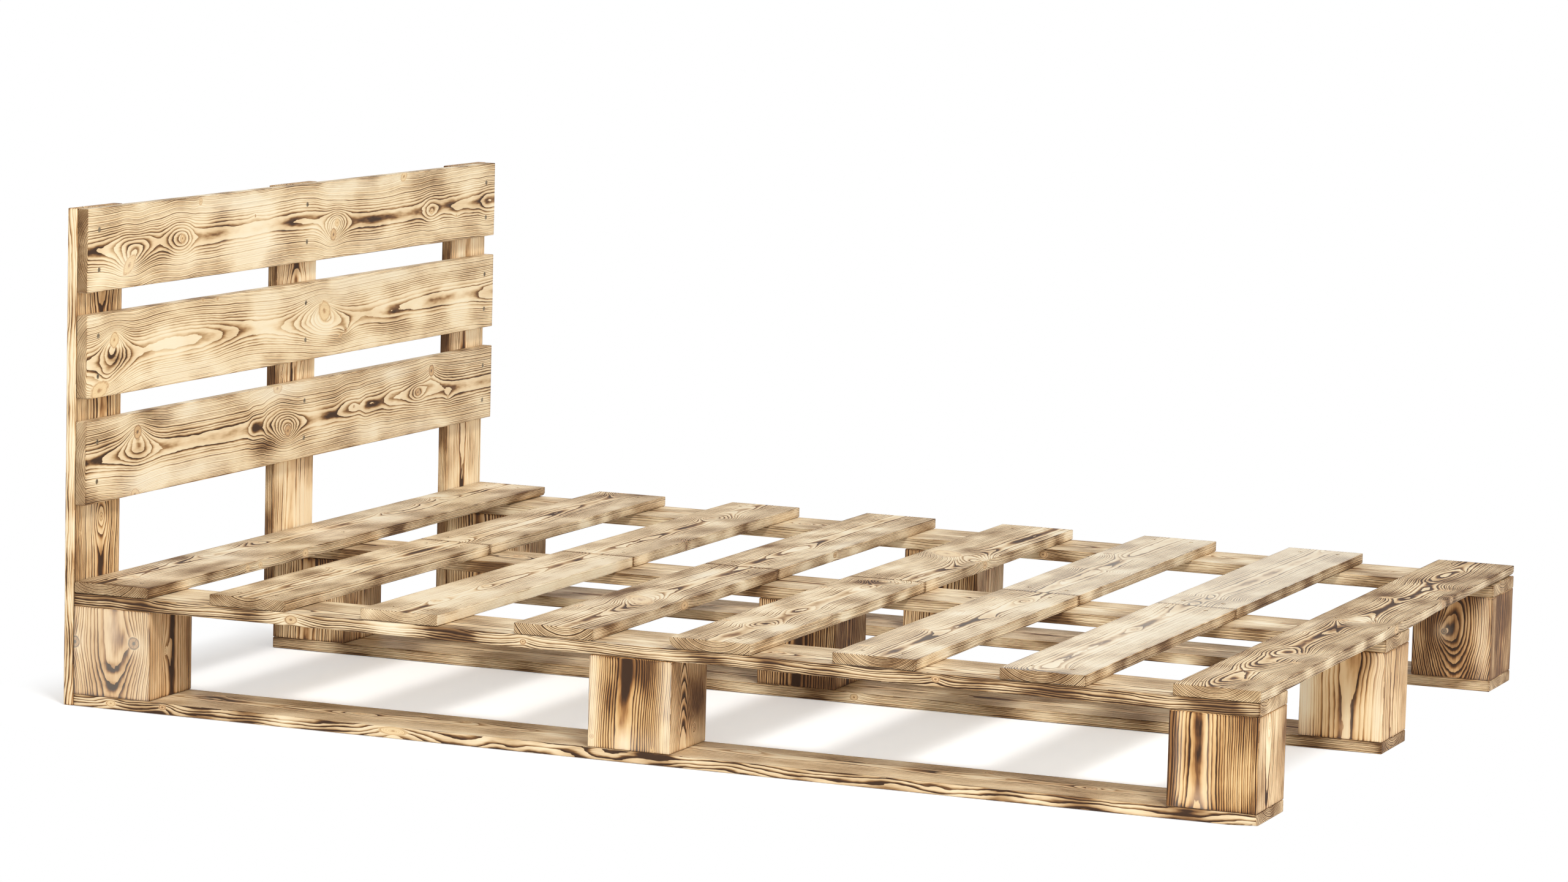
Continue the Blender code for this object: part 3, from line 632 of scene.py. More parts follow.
piece(
    "block_far_foot", seed=49, ring=2.4, depth=50, lines=0.62, wander=0.4, patch=0.3, burn=1.28,
    side_burn=1.39,
    line=(
        (0, 4.6, 75), (15, 3.6, 75), (28, 2.8, 75), (42, 2, 75), (58, 1, 75), (75, 0.4, 75),
        (105, 0.15, 75), (130, 0.7, 75), (145, 1.3, 75), (200, 0.3, 70), (345, 0.35, 72),
    ),
    knots=((80, 56, 6, 6, 0, -3, 1.6),),
    burns=((100, 74, 24, 7, 0.4), (72, 30, 80, 10, 0.3)),
    pales=((80, 56, 14, 12, 0.5), (72, 126, 100, 12, 0.4), (270, 20, 90, 6, 0.5)),
)
piece(
    "post_near", seed=51, side_ring=5.5, sway=6, warm=0.4, burn=0.68, side_burn=0,
    line=(
        (0, 1.6, 80), (120, 1.2, 82), (240, 1.05, 84), (300, 0.3, 85), (380, 0.9, 84), (470, 1.3, 84),
        (560, 1, 82), (645, 0.05, 80), (672, -0.6, 80), (808, -1.2, 78),
    ),
    knots=((300, 85, 8, 7, 0, -2.5, 0.5), (280, 17, 5, 4, 0, -1.2, 0.4)),
    burns=(
        (240, 85, 24, 10, 0.8), (655, 80, 26, 26, 0.5), (484, 100, 30, 5, 0.9), (180, 120, 60, 8, 0.4),
        (60, 4, 200, 6, 0.4),
    ),
    pales=((320, 50, 60, 24, 0.3), (120, 50, 60, 20, 0.25)),
)
piece(
    "post_middle", seed=52, start=70, burn=0.22, side_burn=0.95,
    line=(
        (70, 1, 62), (200, 1.1, 64), (300, 1.4, 66), (470, 0.9, 66), (560, 0.9, 70), (640, 1.05, 72),
        (660, 1.9, 72), (672, 2.2, 72), (808, 3, 72),
    ),
    knots=((478, 22, 6, 5, 0, -1.5, 0.6), (498, 100, 4, 4, 0, -1, 0.6)),
    burns=(
        (484, 60, 30, 5, 0.9), (655, 72, 20, 20, 0.5), (120, 20, 80, 8, 0.4), (200, 90, 60, 8, 0.4),
        (360, 6, 500, 6, 0.5),
    ),
    pales=((260, 100, 80, 20, 0.3),),
)
piece(
    "post_far", seed=53, burn=0.23, side_burn=0.75,
    line=(
        (0, 1.2, 66), (140, 1.3, 66), (205, 1.04, 66), (240, 0.9, 66), (300, 0.6, 66), (470, 1.1, 62),
        (560, 1, 70), (640, 1.1, 75), (808, 1.6, 74),
    ),
    burns=(
        (212, 66, 22, 10, 0.9), (484, 46, 30, 6, 0.8), (484, 62, 30, 5, 0.6), (655, 66, 30, 5, 0.7),
        (655, 86, 30, 5, 0.7), (260, 100, 60, 8, 0.3), (360, 6, 500, 6, 0.4),
    ),
)


# Each family's own axes, u along the grain, v across and w through
AXES = {
    "slat": ((1, 0, 0), (0, 1, 0), (0, 0, 1)),
    "rail": ((0, -1, 0), (1, 0, 0), (0, 0, 1)),
    "runner": ((0, -1, 0), (1, 0, 0), (0, 0, 1)),
    "headboard": ((1, 0, 0), (0, 0, 1), (0, -1, 0)),
    "post": ((0, 0, 1), (1, 0, 0), (0, -1, 0)),
    "block": ((0, 0, 1), (0, -1, 0), (-1, 0, 0)),
}


class Timber:
    """One node's box, seen along its own grain."""

    def __init__(self, name):
        self.name = name
        self.kind = name.split("_")[0]
        low, high = (Vector(corner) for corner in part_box(name))
        axes = [Vector(axis) for axis in AXES[self.kind]]
        size = high - low
        self.length, self.width, self.thick = (
            sum(abs(axis[i]) * size[i] for i in range(3)) for axis in axes
        )
        middle = (low + high) / 2
        self.origin = np.array(middle - axes[0] * self.length / 2)
        self.axes = np.array(axes)
        self.spec = TIMBER[name]
        self.start = self.spec["start"] * MM
        self.table = self.length + (SECOND_FACE if self.kind == "block" else 0.0)

    def world(self, points):
        """Turn points in u, v and w into the scene's X, Y and Z."""
        return self.origin + points @ self.axes

    def own(self, points):
        """Turn points in X, Y and Z into the piece's u, v and w."""
        return (points - self.origin) @ self.axes.T


# Meshes


def spaced(length, pitch, steps):
    """Places along a straight edge: close together near its ends, evenly spaced between."""
    steps = [step for step in steps if step < length / 2 - pitch / 4]
    ends = [0.0, *steps]
    reach = ends[-1]
    count = max(1, round((length - 2 * reach) / pitch))
    inner = np.linspace(reach, length - reach, count + 1)
    return np.array([*ends[:-1], *inner, *[length - end for end in reversed(ends[:-1])]])


def loop_points(half_width, half_thick, radius, pitch):
    """The rounded outline of a board's section, with its outward directions and side counts."""
    across = spaced(2 * (half_width - radius), pitch, EDGE_STEPS) - (half_width - radius)
    if half_thick > pitch * 2:
        through = spaced(2 * (half_thick - radius), pitch, EDGE_STEPS) - (half_thick - radius)
    else:
        through = np.linspace(-(half_thick - radius), half_thick - radius, SIDE_STEPS + 1)
    points, normals = [], []

    def add(v, w, normal):
        points.append((v, w))
        normals.append(normal)

    def corner(sign_v, sign_w, angles):
        for angle in angles:
            nv, nw = sign_v * math.sin(math.radians(angle)), sign_w * math.cos(math.radians(angle))
            add(
                sign_v * (half_width - radius) + radius * nv,
                sign_w * (half_thick - radius) + radius * nw,
                (nv, nw),
            )

    for v in across:
        add(v, half_thick, (0.0, 1.0))
    corner(1, 1, ARRIS_ANGLES)
    for w in reversed(through):
        add(half_width, w, (1.0, 0.0))
    corner(1, -1, ARRIS_ANGLES[::-1])
    for v in reversed(across):
        add(v, -half_thick, (0.0, -1.0))
    corner(-1, -1, ARRIS_ANGLES)
    for w in through:
        add(-half_width, w, (-1.0, 0.0))
    corner(-1, 1, ARRIS_ANGLES[::-1])
    return np.array(points), np.array(normals), len(across), len(through)


def stations(length, radius, pitch):
    """Places along a board and how far its section draws in there, for rounded ends."""
    ends = [(0.0, radius)]
    for angle in ARRIS_ANGLES:
        turn = math.radians(angle)
        ends.append((radius * (1 - math.cos(turn)), radius * (1 - math.sin(turn))))
    inner = radius + spaced(length - 2 * radius, pitch, EDGE_STEPS)
    along = [place for place, _ in ends] + list(inner)
    along += [length - place for place, _ in reversed(ends)]
    inset = [draw for _, draw in ends] + [0.0] * len(inner) + [draw for _, draw in reversed(ends)]
    return np.array(along), np.array(inset)


def swell(timber, field, u, v):
    """A smooth uneven field from 0 to 1 over a board, made of a few slanted waves."""
    shift, along, across = field
    random = np.random.default_rng(timber.spec["seed"] + shift)
    total = np.zeros_like(u)
    for _ in range(FIELD_WAVES):
        slant = random.uniform(*FIELD_SLANT)
        share = random.uniform(*FIELD_STRETCH)
        phase = random.uniform(0.0, 2 * math.pi)
        total += np.sin(2 * math.pi * share * (u / along + slant * v / across) + phase)
    return np.clip(0.5 + total / FIELD_SPAN, 0.0, 1.0)


def along_curve(places, u):
    """Read a table of (place, value) pairs in millimetres at u, in metres."""
    at = np.array([place for place, _ in places]) * MM
    value = np.array([amount for _, amount in places]) * MM
    return np.interp(u, at, value)


def shape_corners(timber, u, v):
    """Round a board's corners, seen from its face."""
    half = timber.width / 2
    for end, side, radius in timber.spec["corners"]:
        radius *= MM
        reach = u if end == "start" else timber.length - u
        gap = np.clip(radius - reach, 0.0, radius)
        cut = radius - np.sqrt(np.maximum(radius**2 - gap**2, 0.0))
        inner = half - CORNER_REACH * radius
        past = np.clip(side * v - inner, 0.0, None)
        v = v - side * past * cut / (half - inner)
    return v


def shape_wane(timber, u, v, w):
    """Round off an edge where the bark side of the log shows."""
    half_v, half_w = timber.width / 2, timber.thick / 2
    for side_v, side_w, across, through in timber.spec["wane"]:
        a = np.maximum(along_curve(across, u), TINY)
        b = np.maximum(along_curve(through, u), TINY)
        x = np.clip(1.0 - (half_v - side_v * v) / a, 0.0, 1.0)
        y = np.clip(1.0 - (half_w - side_w * w) / b, 0.0, 1.0)
        shrink = 1.0 - np.maximum(x, y) / np.maximum(np.hypot(x, y), TINY)
        v, w = v - side_v * x * shrink * a, w - side_w * y * shrink * b
    return v, w


def board_mesh(timber):
    """Build a board or block as one closed skin with worn edges and a slightly uneven surface."""
    pitch = BLOCK_PITCH if timber.kind == "block" else PITCH
    points, normals, n_across, n_through = loop_points(
        timber.width / 2, timber.thick / 2, ARRIS_RADIUS, PITCH_ACROSS
    )
    along, inset = stations(timber.length, ARRIS_RADIUS, pitch)
    count = len(points)
    u = np.repeat(along, count)
    draw = np.repeat(inset, count)
    v = np.tile(points[:, 0], len(along))
    w = np.tile(points[:, 1], len(along))
    nv = np.tile(normals[:, 0], len(along))
    nw = np.tile(normals[:, 1], len(along))
    bumps = swell(timber, SKIN_FIELD, u, v + w)
    dip = SURFACE_DROP + SURFACE_SWELL * bumps
    v = v * (timber.width / 2 - draw) / (timber.width / 2) - nv * dip
    w = w * (timber.thick / 2 - draw) / (timber.thick / 2) - nw * dip
    v = shape_corners(timber, u, v)
    v, w = shape_wane(timber, u, v, w)
    verts = timber.world(np.stack([u, v, w], axis=1))
    faces = []
    for i in range(len(along) - 1):
        for j in range(count):
            k = (j + 1) % count
            faces.append((i * count + j, i * count + k, (i + 1) * count + k, (i + 1) * count + j))
    arc = len(ARRIS_ANGLES)
    bottom = n_across + arc + n_through + arc
    for first in (0, (len(along) - 1) * count):
        for j in range(n_across - 1):
            low = bottom + n_across - 1 - j
            faces.append((first + j, first + j + 1, first + low - 1, first + low))
        right = range(n_across - 1, bottom + 1)
        left = [*range(bottom + n_across - 1, count), 0]
        faces.append(tuple(first + j for j in right))
        faces.append(tuple(first + j for j in left))
    mesh = bpy.data.meshes.new(timber.name + "_wood")
    mesh.from_pydata([tuple(vert) for vert in verts], [], faces)
    bm = bmesh.new()
    bm.from_mesh(mesh)
    bmesh.ops.recalc_face_normals(bm, faces=bm.faces)
    bm.to_mesh(mesh)
    bm.free()
    return mesh


def apply_modifiers(obj):
    """Replace an object's mesh by what its modifiers make of it."""
    view = bpy.context.evaluated_depsgraph_get()
    made = bpy.data.meshes.new_from_object(obj.evaluated_get(view))
    obj.modifiers.clear()
    old = obj.data
    obj.data = made
    made.name = old.name
    bpy.data.meshes.remove(old)


def turned_rows(profile, steps):
    """Points of a profile of (radius, height) pairs turned round Z, and the faces between."""
    verts, faces = [], []
    for radius, height in profile:
        for i in range(steps):
            turn = 2 * math.pi * i / steps
            verts.append((radius * math.cos(turn), radius * math.sin(turn), height))
    for row in range(len(profile) - 1):
        for i in range(steps):
            j = (i + 1) % steps
            faces.append(
                (row * steps + i, row * steps + j, (row + 1) * steps + j, (row + 1) * steps + i)
            )
    faces.append(tuple(range(steps)))
    faces.append(tuple((len(profile) - 1) * steps + i for i in reversed(range(steps))))
    return verts, faces


def merged_mesh(name, placed):
    """One mesh of several (verts, faces, matrix) shapes."""
    bm = bmesh.new()
    for verts, faces, matrix in placed:
        made = [bm.verts.new(matrix @ Vector(vert)) for vert in verts]
        for face in faces:
            bm.faces.new([made[i] for i in face])
    bmesh.ops.recalc_face_normals(bm, faces=bm.faces)
    mesh = bpy.data.meshes.new(name)
    bm.to_mesh(mesh)
    bm.free()
    return mesh


def add_object(name, mesh):
    """Put a mesh in the scene."""
    obj = bpy.data.objects.new(name, mesh)
    bpy.context.scene.collection.objects.link(obj)
    return obj


def facing(place, axis, turn=0.0):
    """A matrix that stands +Z of a shape along an axis at a place."""
    spin = Matrix.Rotation(turn, 4, "Z")
    return Matrix.Translation(place) @ Vector(axis).to_track_quat("Z", "Y").to_matrix().to_4x4() @ spin


# Screws


def screw_sizes(radius, length):
    """A packed screw's head radius, shank radius, cone depth and length."""
    return radius, radius * SHANK_SHARE, radius * CONE_SHARE, length


def screw_shape(head, shank, depth, length):
    """A countersunk screw: flat head, cone, shank and point. Its head is at height zero."""
    return turned_rows(
        (
            (head * HEAD_FLAT, 0.0),
            (head, -HEAD_EDGE),
            (head * HEAD_UNDER, -HEAD_BAND),
            (shank, -depth),
            (shank, -length + 2 * shank),
            (shank * POINT_SHARE, -length),
        ),
        TURN_STEPS,
    )


def cross_shape(reach, width, depth):
    """A cross recess as two crossed tapering bars, for cutting."""
    shapes = []
    for long_x, long_y in ((reach, width), (width, reach)):
        top = [(-long_x, -long_y), (long_x, -long_y), (long_x, long_y), (-long_x, long_y)]
        low = [(x * CROSS_TAPER, y * CROSS_TAPER) for x, y in top]
        verts = [(x, y, CROSS_OVER) for x, y in top] + [(x, y, -depth) for x, y in low]
        faces = [(0, 1, 2, 3), (7, 6, 5, 4)]
        faces += [(i, (i + 1) % 4, 4 + (i + 1) % 4, 4 + i) for i in range(4)]
        shapes.append((verts, faces))
    return shapes


def hole_shape(head, shank, depth, length):
    """The countersunk hole that clears a screw whose head is at height zero."""
    return turned_rows(
        (
            (head + HOLE_MARGIN, HOLE_OVER),
            (head + HOLE_MARGIN, -HOLE_PLAY),
            (shank + HOLE_PLAY, -depth - HOLE_PLAY),
            (shank + HOLE_PLAY, -length - HOLE_PLAY * HOLE_DEEPER),
        ),
        TURN_STEPS,
    )


def cut_away(obj, shapes):
    """Cut shapes out of an object."""
    cutters = [add_object("cutter", mesh) for mesh in shapes]
    for cutter in cutters:
        cut = obj.modifiers.new("cut", "BOOLEAN")
        cut.object = cutter
        cut.solver = "EXACT"
    apply_modifiers(obj)
    for cutter in cutters:
        bpy.data.objects.remove(cutter)


def make_screws(name, spots, sizes):
    """Make screws at (place, axis, turn) spots as one piece, each with its cross recess."""
    head, _, depth, _ = sizes
    shape = screw_shape(*sizes)
    screws = add_object(name, merged_mesh(name, [(*shape, facing(*spot)) for spot in spots]))
    bars = cross_shape(head * CROSS_REACH, head * CROSS_WIDTH, depth * CROSS_DEPTH)
    cut_away(
        screws, [merged_mesh("bar", [(*bar, facing(*spot)) for spot in spots]) for bar in bars]
    )
    return screws


def cut_holes(board, spots, sizes):
    """Cut the screws' countersunk holes into a board."""
    hole = hole_shape(*sizes)
    cut_away(board, [merged_mesh("holes", [(*hole, facing(*spot)) for spot in spots])])


# Node trees written as arithmetic


class Value:
    """A number that a node puts out. Arithmetic on it adds Math nodes."""

    def __init__(self, tree, socket):
        self.tree = tree
        self.socket = socket

    def math(self, operation, *others):
        node = self.tree.nodes.new("ShaderNodeMath")
        node.operation = operation
        plug(self.tree, node.inputs, (self, *others))
        return Value(self.tree, node.outputs[0])

    def __add__(self, other):
        return self.math("ADD", other)

    def __sub__(self, other):
        return self.math("SUBTRACT", other)

    def __mul__(self, other):
        return self.math("MULTIPLY", other)

    def __pow__(self, other):
        return self.math("POWER", other)

    def one_minus(self):
        """Give 1 less this value."""
        return self.math("MULTIPLY_ADD", -1.0, 1.0)

    def step(self, low, high):
        """Rise smoothly from 0 at low to 1 at high."""
        node = self.tree.nodes.new("ShaderNodeMapRange")
        node.interpolation_type = "SMOOTHSTEP"
        plug(self.tree, node.inputs, (self, low, high))
        return Value(self.tree, node.outputs[0])


def plug(tree, inputs, items):
    """Link values to sockets, or set the sockets where an item is a plain number."""
    for socket, item in zip(inputs, items):
        if isinstance(item, Value):
            tree.links.new(item.socket, socket)
        elif item is not None:
            socket.default_value = item


def vector_op(tree, operation, *items):
    """Add a Vector Math node and give its vector output."""
    node = tree.nodes.new("ShaderNodeVectorMath")
    node.operation = operation
    plug(tree, node.inputs, items)
    return Value(tree, node.outputs[0])


def length_of(tree, vector):
    """Give a vector's length."""
    node = tree.nodes.new("ShaderNodeVectorMath")
    node.operation = "LENGTH"
    plug(tree, node.inputs, (vector,))
    return Value(tree, node.outputs["Value"])


def split(tree, vector):
    """Give a vector's three parts."""
    node = tree.nodes.new("ShaderNodeSeparateXYZ")
    plug(tree, node.inputs, (vector,))
    return [Value(tree, output) for output in node.outputs]


def noise(tree, vector, scale, shift=(0.0, 0.0, 0.0), detail=1.0, rough=0.5):
    """Add a noise node from 0 to 1 over a vector that is first scaled and shifted."""
    node = tree.nodes.new("ShaderNodeTexNoise")
    place = vector_op(tree, "MULTIPLY_ADD", vector, scale, shift)
    plug(tree, [node.inputs["Vector"]], (place,))
    node.inputs["Scale"].default_value = 1.0
    node.inputs["Detail"].default_value = detail
    node.inputs["Roughness"].default_value = rough
    return node


def grey_noise(tree, vector, scale, shift=(0.0, 0.0, 0.0), detail=1.0, rough=0.5):
    """Give the same noise as one number."""
    return Value(tree, noise(tree, vector, scale, shift, detail, rough).outputs[0])


def noise_1d(tree, value, scale, shift, detail=0.0):
    """Give noise from 0 to 1 along a number."""
    node = tree.nodes.new("ShaderNodeTexNoise")
    node.noise_dimensions = "1D"
    plug(tree, [node.inputs["W"]], (value.math("MULTIPLY_ADD", scale, shift),))
    node.inputs["Scale"].default_value = 1.0
    node.inputs["Detail"].default_value = detail
    return Value(tree, node.outputs[0])


def ramp(tree, value, stops, mode="LINEAR"):
    """Read a colour ramp of (place, colour) stops."""
    node = tree.nodes.new("ShaderNodeValToRGB")
    elements = node.color_ramp.elements
    node.color_ramp.interpolation = mode
    while len(elements) < len(stops):
        elements.new(0.5)
    for element, (place, _) in zip(elements, stops):
        element.position = place
    for element, (_, colour) in zip(elements, stops):
        element.color = (*colour, 1.0)
    plug(tree, [node.inputs[0]], (value,))
    return Value(tree, node.outputs[0])


def add_bump(tree, shader, height, strength, distance):
    """Give a shader relief from a height between 0 and 1."""
    bump = tree.nodes.new("ShaderNodeBump")
    bump.inputs["Strength"].default_value = strength
    bump.inputs["Distance"].default_value = distance
    plug(tree, [bump.inputs["Height"]], (height,))
    tree.links.new(bump.outputs[0], shader.inputs["Normal"])


def mix_colour(tree, share, first, second):
    """Mix two colours."""
    node = tree.nodes.new("ShaderNodeMix")
    node.data_type = "RGBA"
    colours = [socket for socket in node.inputs if socket.type == "RGBA"]
    plug(tree, [node.inputs["Factor"], *colours], (share, first, second))
    return Value(tree, next(s for s in node.outputs if s.type == "RGBA"))


def linear(red, green, blue):
    """Turn a colour as seen on a screen, 0 to 255, into linear light."""
    parts = [part / 255.0 for part in (red, green, blue)]
    return tuple(p / 12.92 if p <= 0.04045 else ((p + 0.055) / 1.055) ** 2.4 for p in parts)


# Wood

WOOD_TONES = (
    (0.00, linear(253, 241, 214)),
    (0.16, linear(249, 231, 196)),
    (0.34, linear(235, 208, 167)),
    (0.52, linear(208, 176, 133)),
    (0.68, linear(169, 131, 87)),
    (0.84, linear(119, 83, 49)),
    (1.00, linear(64, 42, 25)),
)
WARM_TONES = (
    (0.00, linear(255, 240, 208)),
    (0.16, linear(252, 229, 188)),
    (0.34, linear(238, 206, 160)),
    (0.52, linear(213, 171, 120)),
    (0.68, linear(172, 126, 79)),
    (0.84, linear(118, 79, 46)),
    (1.00, linear(62, 41, 26)),
)
KNOT_TONES = (
    (0.00, linear(250, 228, 184)),
    (0.25, linear(231, 197, 146)),
    (0.50, linear(180, 129, 78)),
    (0.75, linear(120, 78, 43)),
    (1.00, linear(42, 29, 20)),
)
# The whitened tone: pale weathering, and a painted sheen of grazing light where a piece's wash is set
WASH_AND_SHEEN = linear(243, 240, 230)
WARMER = (0.98, 0.91, 0.76)
STEEL_TONES = (
    (0.30, linear(78, 68, 56)),
    (0.50, linear(140, 124, 100)),
    (0.70, linear(192, 176, 148)),
)

# Noises in the wood: waves a metre along u, v and w. Their shifts only keep them apart.
DRIFT_WAVES = (4.5, 17.0, 17.0)
WOBBLE_WAVES = (28.0, 120.0, 120.0)
PATCH_WAVES = (9.0, 20.0, 20.0)
BAND_WAVES = (11.0, 5.0, 5.0)
FIBRE_WAVES = (22.0, 1150.0, 1150.0)
KNOT_WAVES = (95.0, 95.0, 95.0)
STAIN_WAVES = (420.0, 420.0, 420.0)
SCRATCH_WAVES = (900.0, 2600.0, 900.0)
SEED_STEP = 7.31

# How far the noises stray the rings: in metres across, and in rings
STRAY_ACROSS = 0.012
STRAY_RINGS = 0.5
WOBBLE_RINGS = 0.6
WOBBLE_LAYERS = 0.8
# Rings crowd and spread, by this many, once they are some way out from the middle line
CROWD_WAVES = 0.55
CROWD_SLOPE = 0.5
CROWD_RINGS = 0.8
# What share of the painted side flag makes a narrow side
NARROW_SIDE = (0.35, 0.65)

# One ring's dark line: it starts at once, fades over most of the ring, and varies between rings
LINE_START = (0.0, 0.05)
LINE_FADE = (0.02, 0.86)
LINE_POWER = 1.9
LINE_WAVES = 0.73
LINE_SHIFT = 0.37
LINE_SHARE = (1.8, 0.36)

# A knot's lines, how far along and across its bend reaches for its size, and its depth on a side
KNOT_LINES = 3.0
BEND_ALONG = (1.9, 9.0)
BEND_ACROSS = (1.5, 6.0)
SIDE_KNOT_BODY = 20.0
SIDE_KNOT_SPREAD = 18.0
KNOT_HALO_PALE = 0.12
KNOT_SHADE = 0.2
KNOT_BURN = 0.10
KNOT_COVER = 0.88

# What the torch adds to a burn, and the most that it comes to
PATCH_BURN = 3.2
BAND_BURN = 0.6
MOST_TORCHED = 1.50

# What a shade is made of, from 0 for pale wood to 1 for charred: pairs are the share that goes
# with the burn, or with the line once it chars, and the share that is always there
LINE_SHADE = (0.46, 0.22)
BURN_SHADE = 0.32
PATCH_SHADE = 0.30
BASE_SHADE = 0.10
CHARRED_SHADE = (0.85, 0.25)
FIBRE_SHADE = (0.20, 0.17)
END_SHADE = 0.10
CONTRAST = 1.12
CONTRAST_DROP = 0.04
DARK_KNEE = 0.82
DARK_SQUEEZE = 0.40

# Gloss and relief
WOOD_ROUGHNESS = (0.22, 0.46)
WOOD_SPECULAR = 0.30
LINE_RELIEF = -0.55
FIBRE_RELIEF = 0.40
WOBBLE_RELIEF = 0.25
KNOT_RELIEF = 0.35
WOOD_BUMP = (0.55, 0.0008)
STEEL_ROUGHNESS = (0.30, 0.30)
STEEL_METALLIC = 0.85
STEEL_BUMP = (0.3, 0.0002)

# A knot's parts, as ranges of the distance from its middle, which is 1 at its rim
KNOT_CORE = (0.02, 0.34)
KNOT_CRACK = (0.45, 0.80)
KNOT_RIM_IN = (0.66, 0.92)
KNOT_RIM_OUT = (0.95, 1.08)
KNOT_EDGE = (0.78, 1.10)
KNOT_HALO = (0.95, 2.2)
# How dark each part is: its share of the knot's own darkness, and what it always has
KNOT_BODY_TONE = (0.30, 0.09)
KNOT_LINE_TONE = (0.05, 0.10)
KNOT_CORE_TONE = (0.50, 0.30)
KNOT_RIM_TONE = (0.55, 0.50)
KNOT_CRACK_TONE = 0.50
# The rays and cracks round its middle, how uneven it is, and how the rings' bend fades
KNOT_RAYS = 2.4
KNOT_RAY_SHIFT = 5.5
KNOT_RAY_CRACKS = (0.60, 0.68)
KNOT_RAY_SHARE = (0.8, 0.2)
KNOT_UNEVEN = 0.44
KNOT_LINE_UNEVEN = 5.0
KNOT_FADE = 1.35


def graded(value, pair):
    """Give a value times the pair's first number plus its second."""
    return value * pair[0] + pair[1]


def knot_group():
    """Make the node group of one knot: how it bends the rings, where it shows, and its tone."""
    tree = bpy.data.node_groups.new("knot", "ShaderNodeTree")
    face = tree.interface
    for name, kind in (
        ("Grain", "NodeSocketVector"),
        ("Centre", "NodeSocketVector"),
        ("Body", "NodeSocketVector"),
        ("Spread", "NodeSocketVector"),
        ("Tilt", "NodeSocketFloat"),
        ("Rings", "NodeSocketFloat"),
        ("Dark", "NodeSocketFloat"),
        ("Fine", "NodeSocketFloat"),
    ):
        face.new_socket(name, in_out="INPUT", socket_type=kind)
    for name in ("Bend", "Mask", "Tone", "Halo"):
        face.new_socket(name, in_out="OUTPUT", socket_type="NodeSocketFloat")
    inside = tree.nodes.new("NodeGroupInput")
    outside = tree.nodes.new("NodeGroupOutput")
    grain, centre, body, spread, tilt, rings, dark, fine = (
        Value(tree, output) for output in inside.outputs[:8]
    )
    turned = tree.nodes.new("ShaderNodeVectorRotate")
    turned.rotation_type = "Z_AXIS"
    plug(tree, turned.inputs, (grain, centre, None, tilt))
    tree.links.new(tilt.socket, turned.inputs["Angle"])
    offset = vector_op(tree, "SUBTRACT", Value(tree, turned.outputs[0]), centre)
    rough = grey_noise(tree, grain, KNOT_WAVES, detail=3.0)
    reach = length_of(tree, vector_op(tree, "MULTIPLY", offset, spread))
    scaled = vector_op(tree, "MULTIPLY", offset, body)
    near = length_of(tree, scaled) + rough * KNOT_UNEVEN - KNOT_UNEVEN / 2
    bend = (reach ** KNOT_FADE * -1.0).math("EXPONENT") * rings
    mask = near.step(*KNOT_EDGE).one_minus()
    lines = (near * fine + rough * KNOT_LINE_UNEVEN).math("SINE")
    core = near.step(*KNOT_CORE).one_minus()
    rim = near.step(*KNOT_RIM_IN) * near.step(*KNOT_RIM_OUT).one_minus()
    east, north, _ = split(tree, scaled)
    ray = noise_1d(tree, east.math("ARCTAN2", north), KNOT_RAYS, KNOT_RAY_SHIFT, detail=1.0)
    crack = ray.step(*KNOT_RAY_CRACKS) * near.step(*KNOT_CRACK).one_minus()
    tone = graded(dark, KNOT_BODY_TONE) + lines * graded(dark, KNOT_LINE_TONE)
    tone = tone + core * graded(dark, KNOT_CORE_TONE)
    tone = tone + rim * graded(ray, KNOT_RAY_SHARE) * graded(dark, KNOT_RIM_TONE)
    tone = tone + crack * dark * KNOT_CRACK_TONE
    halo = near.step(*KNOT_HALO).one_minus()
    plug(tree, outside.inputs, (bend, mask, tone, halo))
    return tree


def attribute(tree, name):
    """Read a vector that is stored on the mesh."""
    node = tree.nodes.new("ShaderNodeAttribute")
    node.attribute_name = name
    return Value(tree, node.outputs["Vector"])


def middle_line(tree, timber, u):
    """Read a log's line at u: the ring that shows at its middle, and where that middle lies."""
    stops = []
    for place, level, centre in timber.spec["line"]:
        ring = (level - LEVEL_LOW) / LEVEL_SPAN
        across = 0.5 + (centre * MM - timber.width / 2) / CENTRE_SPAN
        stops.append(((place * MM - timber.start) / timber.table, (ring, across, 0.0)))
    level, centre, _ = split(
        tree, ramp(tree, u * (1.0 / timber.table), stops[:MAX_STOPS], mode="CARDINAL")
    )
    return level, centre


def ring_phase(tree, timber, grain, narrow, seed):
    """Count the rings at each point. Gives also how many lie outside the middle line, and a noise."""
    spec = timber.spec
    u, v, w = split(tree, grain)
    level, centre = middle_line(tree, timber, u)
    drift = noise(tree, grain, DRIFT_WAVES, (seed, seed * 0.7, 3.1), detail=2.0)
    drift_v, drift_level, _ = split(tree, Value(tree, drift.outputs["Color"]))
    wobble = grey_noise(tree, grain, WOBBLE_WAVES, (seed, 1.7, seed), detail=2.0)
    stray = (drift_v - 0.5) * (STRAY_ACROSS * spec["wander"])
    side = v - centre * CENTRE_SPAN + CENTRE_SPAN / 2 + stray
    deep = w.math("MULTIPLY_ADD", -1.0, spec["depth"] * MM + timber.thick / 2)
    radius = (side * side + deep * deep).math("SQRT") - spec["depth"] * MM
    rings_out = radius * (1.0 / (spec["ring"] * MM))
    phase = level * LEVEL_SPAN + LEVEL_LOW + rings_out
    phase = phase + (drift_level - 0.5) * (STRAY_RINGS * spec["wander"])
    phase = phase + (wobble - 0.5) * WOBBLE_RINGS
    if timber.kind != "block":
        layers = w * (1.0 / (spec["side_ring"] * MM)) + drift_v * spec["sway"]
        layers = layers + (wobble - 0.5) * WOBBLE_LAYERS
        phase = phase * narrow.one_minus() + (layers + 0.5) * narrow
    return phase, rings_out, wobble


